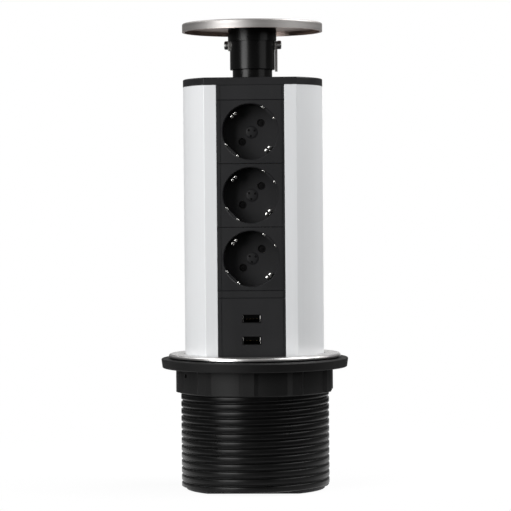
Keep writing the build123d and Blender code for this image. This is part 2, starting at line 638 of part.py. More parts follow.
def socket_back():
    """Contact block behind the recess, grooved for the earth strap."""
    outline = chamfer(Rectangle(BACK_WIDTH, BACK_HEIGHT).vertices(), BACK_CORNER_CUT)
    block = extrude(Pos(0, 0, -CUP_DEPTH) * outline, -BACK_DEPTH)
    groove_half = STRAP_WIDTH / 2 + SIDE_PLAY
    groove_depth = STRAP_THICKNESS + SIDE_PLAY
    groove = bar((-BACK_WIDTH, BACK_WIDTH), (-groove_half, groove_half),
                 (-CUP_DEPTH - groove_depth, -CUP_DEPTH + CUT_OVERRUN))
    block -= Rot(0, 0, PIN_AXIS_ANGLE - 90) * groove
    sleeve_end = CUP_DEPTH + SLEEVE_LENGTH
    for angle in (PIN_AXIS_ANGLE, PIN_AXIS_ANGLE + 180):
        place = Rot(0, 0, angle) * Pos(PIN_SPACING / 2, 0, 0)
        block -= place * rod(SLEEVE_RADIUS + SEAT_GAP, -sleeve_end, -CUP_DEPTH + CUT_OVERRUN)
        tail_hole = bar((-TAIL_WIDTH / 2 - SIDE_PLAY, TAIL_WIDTH / 2 + SIDE_PLAY),
                        (-TAIL_THICKNESS / 2 - SIDE_PLAY, TAIL_THICKNESS / 2 + SIDE_PLAY),
                        (-BACK_FACE_DEPTH - CUT_OVERRUN, -sleeve_end + CUT_OVERRUN))
        block -= Pos(*contact_place(angle)) * tail_hole
    screw_depth = CUP_DEPTH + CENTRE_SCREW_LENGTH
    return block - rod(CENTRE_SCREW_RADIUS + SEAT_GAP, -screw_depth, -CUP_DEPTH + CUT_OVERRUN)


def contact_place(angle):
    """Place of a contact in the plane of the front."""
    arm = PIN_SPACING / 2
    return (arm * cos(radians(angle)), arm * sin(radians(angle)), 0)


def contacts():
    """Two contact sleeves with tails to the busbars."""
    sleeve_end = CUP_DEPTH + SLEEVE_LENGTH
    sleeve = tube(SLEEVE_RADIUS, SLEEVE_BORE_RADIUS, -sleeve_end + SLEEVE_WALL, -CUP_DEPTH)
    sleeve += rod(SLEEVE_RADIUS, -sleeve_end, -sleeve_end + SLEEVE_WALL)
    sleeve += bar((-TAIL_WIDTH / 2, TAIL_WIDTH / 2), (-TAIL_THICKNESS / 2, TAIL_THICKNESS / 2),
                  (-BUSBAR_DEPTH, -sleeve_end))
    angles = (PIN_AXIS_ANGLE, PIN_AXIS_ANGLE + 180)
    return group([Pos(*contact_place(angle)) * sleeve for angle in angles])


def centre_screw():
    """Pan head screw through the recess floor and the strap into the contact block."""
    head_top = -RECESS_DEPTH + CENTRE_SCREW_HEAD_HEIGHT
    screw = rod(CENTRE_SCREW_HEAD_RADIUS, -RECESS_DEPTH, head_top)
    return screw + rod(CENTRE_SCREW_RADIUS, -CUP_DEPTH - CENTRE_SCREW_LENGTH + SIDE_PLAY, -RECESS_DEPTH)


def busbar(x, contact_rise, base):
    """Flat bar behind the contact blocks, from the terminal block to the upper socket."""
    top = SOCKET_HEIGHTS[0] + contact_rise + BUSBAR_WIDTH / 2
    near = -FLAT_DISTANCE + BUSBAR_DEPTH
    return bar((x - BUSBAR_WIDTH / 2, x + BUSBAR_WIDTH / 2), (near, near + BUSBAR_THICKNESS), (base, top))


def usb_port_heights():
    """Heights of the two ports from the module's centre."""
    return (USB_LOWER_PORT_OFFSET, USB_LOWER_PORT_OFFSET + USB_PORT_PITCH)


def usb_front():
    """Module face with the two ports' windows and the rim that takes the rear cover."""
    body = module_plate(MODULE_PITCH)
    rim_width = USB_BOX_WIDTH - 2 * USB_BOX_WALL - SIDE_PLAY
    rim_outer = Rectangle(rim_width, USB_BOX_HEIGHT - 2 * USB_BOX_WALL - SIDE_PLAY)
    rim = rim_outer - offset(rim_outer, -USB_BOX_WALL)
    body += extrude(Pos(0, 0, -FLANGE_BACK) * rim, -FLANGE_THICKNESS)
    window_height = USB_PORT_HEIGHT + 2 * SIDE_PLAY
    window = RectangleRounded(USB_PORT_WIDTH + 2 * SIDE_PLAY, window_height, USB_PORT_CORNER)
    for port_y in usb_port_heights():
        body -= extrude(Pos(0, port_y, CUT_OVERRUN) * window, -FLANGE_BACK - 2 * CUT_OVERRUN)
    return body


def usb_shells():
    """Two open metal shells, just behind the face."""
    outer = RectangleRounded(USB_PORT_WIDTH, USB_PORT_HEIGHT, USB_PORT_CORNER)
    shell = outer - offset(outer, -USB_SHELL_WALL)
    return group([extrude(Pos(0, port_y, -USB_PORT_LIP) * shell, -USB_SHELL_LENGTH)
                  for port_y in usb_port_heights()])


def usb_tongues():
    """Plastic tongues, each on a plug that closes the back of its shell."""
    inner_width = USB_PORT_WIDTH - 2 * USB_SHELL_WALL - SIDE_PLAY
    inner_height = USB_PORT_HEIGHT - 2 * USB_SHELL_WALL - SIDE_PLAY
    back = USB_PORT_LIP + USB_SHELL_LENGTH
    plug_outline = RectangleRounded(inner_width, inner_height, USB_PORT_CORNER - USB_SHELL_WALL)
    plug = extrude(Pos(0, 0, -back) * plug_outline, USB_TONGUE_THICKNESS)
    tongue = bar((-USB_TONGUE_WIDTH / 2, USB_TONGUE_WIDTH / 2),
                 (USB_TONGUE_RAISE - USB_TONGUE_THICKNESS / 2, USB_TONGUE_RAISE + USB_TONGUE_THICKNESS / 2),
                 (-back, -USB_PORT_LIP - USB_TONGUE_SETBACK))
    return group([Pos(0, port_y, 0) * (plug + tongue) for port_y in usb_port_heights()])


def board_depth():
    """Depth of the board's front face, right behind the shells."""
    return USB_PORT_LIP + USB_SHELL_LENGTH


def usb_board():
    """Upright circuit board behind the shells."""
    inner_width = USB_BOX_WIDTH - 2 * USB_BOX_WALL
    inner_height = USB_BOX_HEIGHT - 2 * USB_BOX_WALL
    board = Rectangle(inner_width - BOARD_MARGIN, inner_height - BOARD_MARGIN)
    return extrude(Pos(0, 0, -board_depth()) * board, -BOARD_THICKNESS)


def usb_transformer():
    """Transformer on the back of the board."""
    back = board_depth() + BOARD_THICKNESS
    return Pos(0, TRANSFORMER_OFFSET, -back - TRANSFORMER_DEPTH / 2) * Box(
        TRANSFORMER_WIDTH, TRANSFORMER_HEIGHT, TRANSFORMER_DEPTH)


def usb_capacitors():
    """Two capacitors on the back of the board."""
    back = board_depth() + BOARD_THICKNESS
    return group([Pos(side * CAPACITOR_SPACING / 2, -CAPACITOR_OFFSET, 0) * rod(
        CAPACITOR_RADIUS, -back - CAPACITOR_LENGTH, -back) for side in (-1, 1)])


def usb_back():
    """Rear cover, open towards the face."""
    outer = Rectangle(USB_BOX_WIDTH, USB_BOX_HEIGHT)
    cover = extrude(Pos(0, 0, -FLANGE_BACK) * outer, -USB_BOX_DEPTH)
    hollow = offset(outer, -USB_BOX_WALL)
    return cover - extrude(Pos(0, 0, -FLANGE_BACK) * hollow, -USB_BOX_DEPTH + USB_BOX_WALL)


def lower_cover():
    """Blank cover inside the collar with two posts for the terminal block."""
    cover = module_plate(LOWER_COVER_HEIGHT)
    centre = PROFILE_BASE + LOWER_COVER_HEIGHT / 2
    post_y = TERMINAL_CENTRE_HEIGHT - centre
    post_end = TERMINAL_BACK_DEPTH - TERMINAL_DEPTH
    for side in (-1, 1):
        post_x = side * POST_SPACING / 2
        cover += bar((post_x - POST_WIDTH / 2, post_x + POST_WIDTH / 2),
                     (post_y - POST_WIDTH / 2, post_y + POST_WIDTH / 2), (-post_end, -FACE_THICKNESS))
    return front_frame(centre) * cover


def terminal_block():
    """Terminal strip on the posts, with three clamp holes facing down."""
    back = -FLAT_DISTANCE + TERMINAL_BACK_DEPTH
    low = TERMINAL_CENTRE_HEIGHT - TERMINAL_HEIGHT / 2
    high = TERMINAL_CENTRE_HEIGHT + TERMINAL_HEIGHT / 2
    block = bar((-TERMINAL_WIDTH / 2, TERMINAL_WIDTH / 2), (back - TERMINAL_DEPTH, back), (low, high))
    for pole in (-1, 0, 1):
        hole = rod(TERMINAL_POLE_RADIUS, low - CUT_OVERRUN, low + TERMINAL_POLE_DEPTH)
        block -= Pos(pole * TERMINAL_POLE_PITCH, back - TERMINAL_DEPTH / 2, 0) * hole
    return block


# Collar and clamp


def thread_groove():
    """Cutter for the thread's single groove, which starts one turn under the collar's foot."""
    root_radius = THREAD_CREST_RADIUS - THREAD_DEPTH
    outer_half = THREAD_ROOT_WIDTH / 2 + THREAD_FLANK_WIDTH * (THREAD_DEPTH + CUT_OVERRUN) / THREAD_DEPTH
    threaded_length = COLLAR_LENGTH - COLLAR_FLANGE_THICKNESS - THREAD_TOP_GAP
    path = Helix(THREAD_PITCH, threaded_length + THREAD_PITCH, root_radius)
    across = Plane(origin=path @ 0, x_dir=(1, 0, 0), z_dir=path % 0)
    outline = make_face(Polyline((0, -THREAD_ROOT_WIDTH / 2), (THREAD_DEPTH + CUT_OVERRUN, -outer_half),
                                 (THREAD_DEPTH + CUT_OVERRUN, outer_half), (0, THREAD_ROOT_WIDTH / 2),
                                 close=True))
    groove = sweep(across * outline, path=path, is_frenet=True)
    return Pos(0, 0, COLLAR_BASE_HEIGHT - THREAD_PITCH) * Rot(0, 0, THREAD_START_ANGLE) * groove


def threaded_collar():
    """Collar tube with its coarse thread and the thin flange at its top."""
    body = tube(THREAD_CREST_RADIUS, COLLAR_BORE_RADIUS, COLLAR_BASE_HEIGHT, COLLAR_TOP_HEIGHT)
    body = chamfer(body.faces().sort_by(Axis.Z)[0].edges().sort_by(SortBy.LENGTH)[-1], COLLAR_END_CHAMFER)
    flange_base = COLLAR_TOP_HEIGHT - COLLAR_FLANGE_THICKNESS
    flange = tube(COLLAR_FLANGE_RADIUS, COLLAR_BORE_RADIUS, flange_base, COLLAR_TOP_HEIGHT)
    return body - thread_groove() + flange


def trim_ring():
    """Steel ring on the flange, rounded at its outer top edge."""
    ring = rod(TRIM_OUTER_RADIUS, COLLAR_TOP_HEIGHT, TRIM_TOP)
    ring = fillet(ring.faces().sort_by(Axis.Z)[-1].edges(), TRIM_EDGE_FILLET)
    return ring - rod(TRIM_BORE_RADIUS, COLLAR_TOP_HEIGHT - CUT_OVERRUN, TRIM_TOP + CUT_OVERRUN)


def guide_segment(base, top):
    """Block that fills the bore in front of the tower's flat."""
    front = Pos(0, -GUIDE_FACE - GUIDE_RADIUS) * Rectangle(2 * GUIDE_RADIUS, 2 * GUIDE_RADIUS)
    outline = Circle(GUIDE_RADIUS) & front
    return extrude(Pos(0, 0, base) * outline, top - base)


def pad_centre_height():
    """Height of the brake pads, at the middle of the upper guide."""
    return GUIDE_TOP - UPPER_GUIDE_HEIGHT / 2


def pad_front():
    """Distance of the pads' faces in front of the axis."""
    return FLAT_DISTANCE + CAP_PROUD + SIDE_PLAY


def pad_block(side, margin, overrun):
    """Block of one brake pad, or of its pocket where margin and overrun aren't zero."""
    centre = side * (PAD_INNER_OFFSET + PAD_WIDTH / 2)
    height = pad_centre_height()
    return bar((centre - PAD_WIDTH / 2 - margin, centre + PAD_WIDTH / 2 + margin),
               (-pad_front() - PAD_DEPTH, -pad_front() + overrun),
               (height - PAD_HEIGHT / 2 - margin, height + PAD_HEIGHT / 2 + margin))


def front_guide_upper():
    """Upper guide with a pocket for each brake pad."""
    guide = guide_segment(GUIDE_TOP - UPPER_GUIDE_HEIGHT, GUIDE_TOP)
    return guide - pad_block(-1, SIDE_PLAY, CUT_OVERRUN) - pad_block(1, SIDE_PLAY, CUT_OVERRUN)


def front_guide_lower():
    """Lower guide, which the stop plate meets from below."""
    return guide_segment(LOWER_GUIDE_BASE, LOWER_GUIDE_BASE + LOWER_GUIDE_HEIGHT)


def brake_pads():
    """Two rubber pads that press on the aluminium beside the modules."""
    return group([pad_block(-1, 0, 0), pad_block(1, 0, 0)])


def clamp_washer():
    """Wide washer that tapers in a little towards the nut."""
    base = WASHER_TOP - WASHER_THICKNESS
    disc = Cone(WASHER_RADIUS - WASHER_TAPER, WASHER_RADIUS, WASHER_THICKNESS)
    disc = Pos(0, 0, base + WASHER_THICKNESS / 2) * disc
    disc = fillet(disc.edges().filter_by(GeomType.CIRCLE), WASHER_FILLET)
    return disc - rod(CLAMP_BORE_RADIUS, base - CUT_OVERRUN, WASHER_TOP + CUT_OVERRUN)


def clamp_nut():
    """Round nut with sloped grip ribs and a hole for a locking screw."""
    body = rod(NUT_BODY_RADIUS, NUT_BASE, NUT_TOP)
    body = chamfer(body.faces().sort_by(Axis.Z)[0].edges(), NUT_CHAMFER)
    root_radius = NUT_BODY_RADIUS - NUT_CHAMFER
    corners = [(root_radius, -NUT_RIB_BASE_HALF_ANGLE), (NUT_RIB_RADIUS, -NUT_RIB_TOP_HALF_ANGLE),
               (NUT_RIB_RADIUS, NUT_RIB_TOP_HALF_ANGLE), (root_radius, NUT_RIB_BASE_HALF_ANGLE)]
    outline = make_face(Polyline(*[(radius * cos(radians(angle)), radius * sin(radians(angle)))
                                   for radius, angle in corners], close=True))
    rib = extrude(Pos(0, 0, NUT_BASE + NUT_CHAMFER) * outline, NUT_HEIGHT - NUT_CHAMFER)
    for index in range(NUT_RIB_COUNT):
        body += Rot(0, 0, NUT_RIB_PHASE + 360 * index / NUT_RIB_COUNT) * rib
    body -= rod(CLAMP_BORE_RADIUS, NUT_BASE - CUT_OVERRUN, NUT_TOP + CUT_OVERRUN)
    across = Rot(0, 0, NUT_LOCK_HOLE_ANGLE) * Pos(0, 0, NUT_TOP - NUT_LOCK_HOLE_DROP) * Rot(0, 90, 0)
    return body - across * rod(NUT_LOCK_HOLE_RADIUS, 0, NUT_RIB_RADIUS)


# Lid


def lid_plate():
    """Steel dish with a turned-down rim and a shallow recess underneath."""
    plate = rod(LID_RADIUS, LID_BASE, LID_BASE + LID_HEIGHT)
    plate = fillet(plate.faces().sort_by(Axis.Z)[-1].edges(), LID_TOP_FILLET)
    return plate - rod(LID_RADIUS - LID_RIM_WIDTH, LID_BASE - CUT_OVERRUN, LID_CEILING)


def lid_neck():
    """Stepped neck, open at the bottom, with a flat groove each side for the bracket."""
    shoulder = NECK_TOP - NECK_UPPER_LENGTH
    neck = rod(NECK_RADIUS, NECK_BASE, NECK_TOP)
    neck = fillet(neck.faces().sort_by(Axis.Z)[0].edges(), NECK_EDGE_FILLET)
    neck += rod(NECK_UPPER_RADIUS, shoulder, NECK_TOP)
    neck -= rod(NECK_BORE_RADIUS, NECK_BASE - CUT_OVERRUN, NECK_CEILING)
    groove_half = BRACKET_WIDTH / 2 + SIDE_PLAY
    for side in (-1, 1):
        near, far = sorted((side * NECK_RADIUS, side * (NECK_UPPER_RADIUS + CUT_OVERRUN)))
        neck -= bar((near, far), (-groove_half, groove_half),
                    (shoulder - CUT_OVERRUN, NECK_TOP + CUT_OVERRUN))
    screw_hole_tool = Pos(0, 0, LID_SCREW_HEIGHT) * Rot(0, 90, 0) * Cylinder(
        LID_SCREW_RADIUS + SEAT_GAP, 2 * NECK_RADIUS + CUT_OVERRUN)
    return neck - screw_hole_tool


def lid_bracket():
    """U-shaped strap over the neck, with a leg down each side of it."""
    leg_base = LID_CEILING - BRACKET_LEG_LENGTH
    outer = bar((-BRACKET_OUTER_HALF, BRACKET_OUTER_HALF), (-BRACKET_WIDTH / 2, BRACKET_WIDTH / 2),
                (leg_base, LID_CEILING))
    outer = fillet(outer.edges().filter_by(Axis.Y).group_by(Axis.Z)[-1], BRACKET_THICKNESS / 2)
    inner = bar((-BRACKET_INNER_HALF, BRACKET_INNER_HALF), (-BRACKET_WIDTH, BRACKET_WIDTH),
                (leg_base - CUT_OVERRUN, LID_CEILING - BRACKET_THICKNESS))
    hole = Pos(0, 0, LID_SCREW_HEIGHT) * Rot(0, 90, 0) * Cylinder(
        LID_SCREW_RADIUS + SEAT_GAP, 3 * BRACKET_OUTER_HALF)
    return outer - inner - hole


def side_screw(side, seat):
    """Pan head screw from one side through the bracket and neck into the stem's slot."""
    frame = Plane(origin=(side * seat, 0, LID_SCREW_HEIGHT), x_dir=(0, 1, 0), z_dir=(side, 0, 0))
    head = rod(LID_SCREW_HEAD_RADIUS, 0, LID_SCREW_HEAD_HEIGHT)
    head = fillet(head.faces().sort_by(Axis.Z)[-1].edges(), LID_SCREW_HEAD_HEIGHT / 3)
    head -= rod(LID_SCREW_DRIVE_RADIUS, LID_SCREW_HEAD_HEIGHT - LID_SCREW_DRIVE_DEPTH,
                LID_SCREW_HEAD_HEIGHT + CUT_OVERRUN)
    tip = STEM_RADIUS - STEM_WALL + LID_SCREW_TIP_GAP
    return frame * (head + rod(LID_SCREW_RADIUS, tip - seat, 0))


def lid_screws():
    """One screw each side; the right one also holds the earth strip."""
    right_seat = BRACKET_OUTER_HALF + EARTH_STRIP_THICKNESS
    return group([side_screw(-1, BRACKET_OUTER_HALF), side_screw(1, right_seat)])


def earth_strip():
    """Strip under the right screw's head, with turned-in edges down to the foot of the neck."""
    top = LID_SCREW_HEIGHT + EARTH_STRIP_WIDTH / 2
    strip = bar((BRACKET_OUTER_HALF, BRACKET_OUTER_HALF + EARTH_STRIP_THICKNESS),
                (-EARTH_STRIP_WIDTH / 2, EARTH_STRIP_WIDTH / 2), (EARTH_STRIP_BASE, top))
    hole = Pos(0, 0, LID_SCREW_HEIGHT) * Rot(0, 90, 0) * Cylinder(
        LID_SCREW_RADIUS + SEAT_GAP, 3 * BRACKET_OUTER_HALF)
    edge_top = LID_CEILING - BRACKET_LEG_LENGTH - RUNNING_GAP
    inner = BRACKET_OUTER_HALF - EARTH_STRIP_EDGE_DEPTH
    for side in (-1, 1):
        middle = side * (EARTH_STRIP_WIDTH - EARTH_STRIP_THICKNESS) / 2
        strip += bar((inner, BRACKET_OUTER_HALF), (middle - EARTH_STRIP_THICKNESS / 2,
                     middle + EARTH_STRIP_THICKNESS / 2), (EARTH_STRIP_BASE, edge_top))
    return strip - hole


def build_parts():
    """All sub-parts by name."""
    terminal_low = TERMINAL_CENTRE_HEIGHT - TERMINAL_HEIGHT / 2
    parts = {
        "tower_profile": tower_profile(),
        "top_cap": top_cap(),
        "top_cap_screws": top_cap_screws(),
        "lid_stem": lid_stem(),
        "lid_stem_screws": lid_stem_screws(),
        "pop_spring": pop_spring(),
        "blank_strip": blank(PROFILE_TOP, BLANK_STRIP_HEIGHT),
        "spacer_strip": blank(SPACER_TOP, SPACER_HEIGHT),
        "lower_cover": lower_cover(),
        "terminal_block": terminal_block(),
        "live_busbar": busbar(PIN_ARM, PIN_ARM, terminal_low),
        "neutral_busbar": busbar(-PIN_ARM, -PIN_ARM, terminal_low),
        "earth_busbar": busbar(EARTH_TAB_ARM, -EARTH_TAB_ARM, terminal_low),
        "base_cap": base_cap(),
        "stop_plate": stop_plate(),
        "base_screws": base_screws(),
        "inlet_bush": inlet_bush(),
        "cord_clamp": cord_clamp(),
        "cord_clamp_screws": cord_clamp_screws(),
        "threaded_collar": threaded_collar(),
        "trim_ring": trim_ring(),
        "front_guide_upper": front_guide_upper(),
        "front_guide_lower": front_guide_lower(),
        "brake_pads": brake_pads(),
        "clamp_washer": clamp_washer(),
        "clamp_nut": clamp_nut(),
        "lid_plate": lid_plate(),
        "lid_neck": lid_neck(),
        "lid_bracket": lid_bracket(),
        "lid_screws": lid_screws(),
        "earth_strip": earth_strip(),
    }
    socket_pieces = {"socket": socket_front(), "socket_back": socket_back(),
                     "earth_strap": earth_strap(), "contacts": contacts()}
    for name, height in zip(SOCKET_NAMES, SOCKET_HEIGHTS):
        for piece, solid in socket_pieces.items():
            parts[f"{piece}_{name}"] = front_frame(height) * solid
    parts["socket_screws"] = group([front_frame(height) * centre_screw() for height in SOCKET_HEIGHTS])
    usb_pieces = {"usb_front": usb_front(), "usb_shells": usb_shells(), "usb_tongues": usb_tongues(),
                  "usb_board": usb_board(), "usb_transformer": usb_transformer(),
                  "usb_capacitors": usb_capacitors(), "usb_back": usb_back()}
    for name, solid in usb_pieces.items():
        parts[name] = front_frame(USB_CENTRE_HEIGHT) * solid
    return parts


os.makedirs("parts", exist_ok=True)
for part_name, part in build_parts().items():
    export_step(part, f"parts/{part_name}.step")
    print(f"{part_name}: {len(part.solids())} solids, {part.volume:.1f} mm3")
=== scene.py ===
import logging
from collections.abc import Callable, Iterable, Iterator
from contextlib import contextmanager
from dataclasses import dataclass, field
from enum import Enum
from math import cos, pi, radians, sin

import bmesh
import bpy
from mathutils import Matrix, Vector


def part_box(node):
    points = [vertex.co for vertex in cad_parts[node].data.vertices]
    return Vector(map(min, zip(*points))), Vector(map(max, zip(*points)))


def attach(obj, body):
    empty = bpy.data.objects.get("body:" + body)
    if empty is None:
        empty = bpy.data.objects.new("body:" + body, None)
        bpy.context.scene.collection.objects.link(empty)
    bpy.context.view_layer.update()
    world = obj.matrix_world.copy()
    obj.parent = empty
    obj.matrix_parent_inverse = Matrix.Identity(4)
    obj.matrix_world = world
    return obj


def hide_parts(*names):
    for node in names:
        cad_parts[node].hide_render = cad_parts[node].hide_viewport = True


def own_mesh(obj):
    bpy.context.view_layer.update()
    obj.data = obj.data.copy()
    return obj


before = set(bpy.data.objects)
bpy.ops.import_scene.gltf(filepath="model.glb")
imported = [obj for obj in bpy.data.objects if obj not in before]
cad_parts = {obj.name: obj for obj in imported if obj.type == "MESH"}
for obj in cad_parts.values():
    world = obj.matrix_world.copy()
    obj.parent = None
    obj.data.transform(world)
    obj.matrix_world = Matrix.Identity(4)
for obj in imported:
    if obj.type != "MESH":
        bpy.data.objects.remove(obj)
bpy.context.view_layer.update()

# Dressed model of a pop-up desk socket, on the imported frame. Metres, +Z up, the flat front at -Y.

LOG = logging.getLogger("desk_socket")
MM = 0.001
DOUBLES = 0.002 * MM
SPIN_SEAM = 0.001 * MM
SOFT_ANGLE = 35.0
SHARP_ANGLE = 60.0
BLOCK_SEGMENTS = 3
Piece = bpy.types.Object
Socket = bpy.types.NodeSocket
Colour = tuple[float, float, float]
Size = tuple[float, float, float]
Outline = list[tuple[float, float]]
Shape = tuple[tuple[float, float], ...]
Input = Socket | float | tuple[float, ...]


# Modelling helpers


def deselect() -> None:
    """Deselect every object."""
    bpy.ops.object.select_all(action="DESELECT")


def take(piece: Piece) -> None:
    """Select one object alone and make it active.

    Args:
        piece: The object to work on.
    """
    deselect()
    piece.select_set(True)
    bpy.context.view_layer.objects.active = piece


@contextmanager
def editing(piece: Piece) -> Iterator[None]:
    """Edit mode on one object.

    Args:
        piece: The object to edit.
    """
    take(piece)
    bpy.ops.object.mode_set(mode="EDIT")
    try:
        yield
    finally:
        bpy.ops.object.mode_set(mode="OBJECT")


def pick(piece: Piece, mode: str, test: Callable) -> None:
    """Select the vertices, edges or faces that pass a test, in edit mode.

    Args:
        piece: The object in edit mode.
        mode: "VERT", "EDGE" or "FACE".
        test: Called with each element.
    """
    bpy.ops.mesh.select_mode(type=mode)
    bpy.ops.mesh.select_all(action="DESELECT")
    mesh = bmesh.from_edit_mesh(piece.data)
    for element in {"VERT": mesh.verts, "EDGE": mesh.edges, "FACE": mesh.faces}[mode]:
        if test(element):
            element.select_set(True)
    bmesh.update_edit_mesh(piece.data)


def use_modifier(piece: Piece, kind: str, **settings: object) -> None:
    """Add a modifier to a piece and apply it.

    Args:
        piece: The piece to shape.
        kind: The modifier's type.
        settings: The modifier's own values.
    """
    take(piece)
    bpy.ops.object.modifier_add(type=kind)
    modifier = piece.modifiers[-1]
    for name, value in settings.items():
        setattr(modifier, name, value)
    bpy.ops.object.modifier_apply(modifier=modifier.name)


def name_piece(piece: Piece, name: str) -> Piece:
    """Give an object and its mesh a name.

    Args:
        piece: The object.
        name: Its new name.

    Returns:
        The same object.
    """
    piece.name = name
    piece.data.name = name
    return piece


def settle(piece: Piece) -> None:
    """Move an object's place, turn and size into its mesh."""
    take(piece)
    bpy.ops.object.transform_apply(location=True, rotation=True, scale=True)


def shift_mesh(piece: Piece, move: Size) -> None:
    """Move a piece's whole mesh.

    Args:
        piece: The piece.
        move: The way along X, Y and Z.
    """
    with editing(piece):
        bpy.ops.mesh.select_all(action="SELECT")
        bpy.ops.transform.translate(value=move)


def outward(piece: Piece) -> None:
    """Merge doubles and turn all faces outwards.

    Args:
        piece: The piece to clean.
    """
    with editing(piece):
        bpy.ops.mesh.select_all(action="SELECT")
        bpy.ops.mesh.remove_doubles(threshold=DOUBLES)
        bpy.ops.mesh.normals_make_consistent(inside=False)


def smooth(piece: Piece, angle: float = SOFT_ANGLE) -> None:
    """Shade a piece smooth except at edges sharper than an angle in degrees."""
    take(piece)
    bpy.ops.object.shade_smooth_by_angle(angle=radians(angle))


def drawn_line(name: str, points: Outline, closed: bool) -> Piece:
    """Line of edges in the XZ plane, drawn point by point with extrude.

    Args:
        name: The new object's name.
        points: Radius and height of each point.
        closed: Whether the last point joins the first.

    Returns:
        The object with the line.
    """
    deselect()
    x, z = points[0]
    bpy.ops.mesh.primitive_plane_add(size=MM, location=(0, 0, 0))
    line = name_piece(bpy.context.active_object, name)
    with editing(line):
        bpy.ops.mesh.select_mode(type="VERT")
        bpy.ops.mesh.select_all(action="SELECT")
        bpy.ops.mesh.merge(type="CENTER")
        bpy.ops.transform.translate(value=(x, 0, z))
        for next_x, next_z in points[1:]:
            bpy.ops.mesh.extrude_region_move(TRANSFORM_OT_translate={"value": (next_x - x, 0, next_z - z)})
            x, z = next_x, next_z
        if closed:
            last = len(points) - 1
            pick(line, "VERT", lambda vertex: vertex.index in (0, last))
            bpy.ops.mesh.edge_face_add()
    return line


def turned(name: str, points: Outline, steps: int = 96, closed: bool = False) -> Piece:
    """Turned piece: an outline spun round the Z axis.

    Args:
        name: The piece's name.
        points: Radius and height of each corner of the outline.
        steps: Segments round the axis.
        closed: Whether the outline is a ring's section, which doesn't start and end on the axis.

    Returns:
        The finished piece.
    """
    piece = drawn_line(name, points, closed)
    use_modifier(piece, "SCREW", axis="Z", angle=2 * pi, screw_offset=0, iterations=1, steps=steps,
                 render_steps=steps, use_merge_vertices=True, merge_threshold=SPIN_SEAM)
    outward(piece)
    return piece


def rounded_block(name: str, size: Size, edge: float) -> Piece:
    """Block centred on the origin with rounded edges.

    Args:
        name: The piece's name.
        size: Length along X, Y and Z.
        edge: Radius of the edges.

    Returns:
        The block.
    """
    deselect()
    bpy.ops.mesh.primitive_cube_add(size=1, location=(0, 0, 0))
    block = name_piece(bpy.context.active_object, name)
    block.scale = size
    settle(block)
    with editing(block):
        bpy.ops.mesh.select_all(action="SELECT")
        bpy.ops.mesh.bevel(offset=edge, segments=BLOCK_SEGMENTS, affect="EDGES")
    return block


def joined(name: str, pieces: list[Piece]) -> Piece:
    """Several objects made one.

    Args:
        name: The name of the whole.
        pieces: The objects to join, the first of which stays.

    Returns:
        The whole.
    """
    deselect()
    for piece in pieces:
        piece.select_set(True)
    bpy.context.view_layer.objects.active = pieces[0]
    bpy.ops.object.join()
    return name_piece(pieces[0], name)


def removed(piece: Piece) -> None:
    """Delete a helper object."""
    take(piece)
    bpy.ops.object.delete()


def copies(model: Piece, places: Iterable[Matrix]) -> list[Piece]:
    """Copies of a model, each with its own mesh, in place of the model itself.

    Args:
        model: The piece to copy, which is deleted at the end.
        places: Where each copy is set down.

    Returns:
        The copies.
    """
    twins = []
    for place in places:
        take(model)
        bpy.ops.object.duplicate(linked=False)
        twin = bpy.context.active_object
        twin.matrix_world = place
        settle(twin)
        twins.append(twin)
    removed(model)
    return twins


def cut_away(piece: Piece, tool: Piece) -> None:
    """Cut a tool's shape out of a piece and delete the tool."""
    use_modifier(piece, "BOOLEAN", operation="DIFFERENCE", object=tool, solver="EXACT")
    removed(tool)


# Node trees


class MixKind(Enum):
    """What a Mix node blends, with the numbers of its two inputs and its result."""

    VALUE = ("FLOAT", 2, 3, 0)
    COLOUR = ("RGBA", 6, 7, 2)


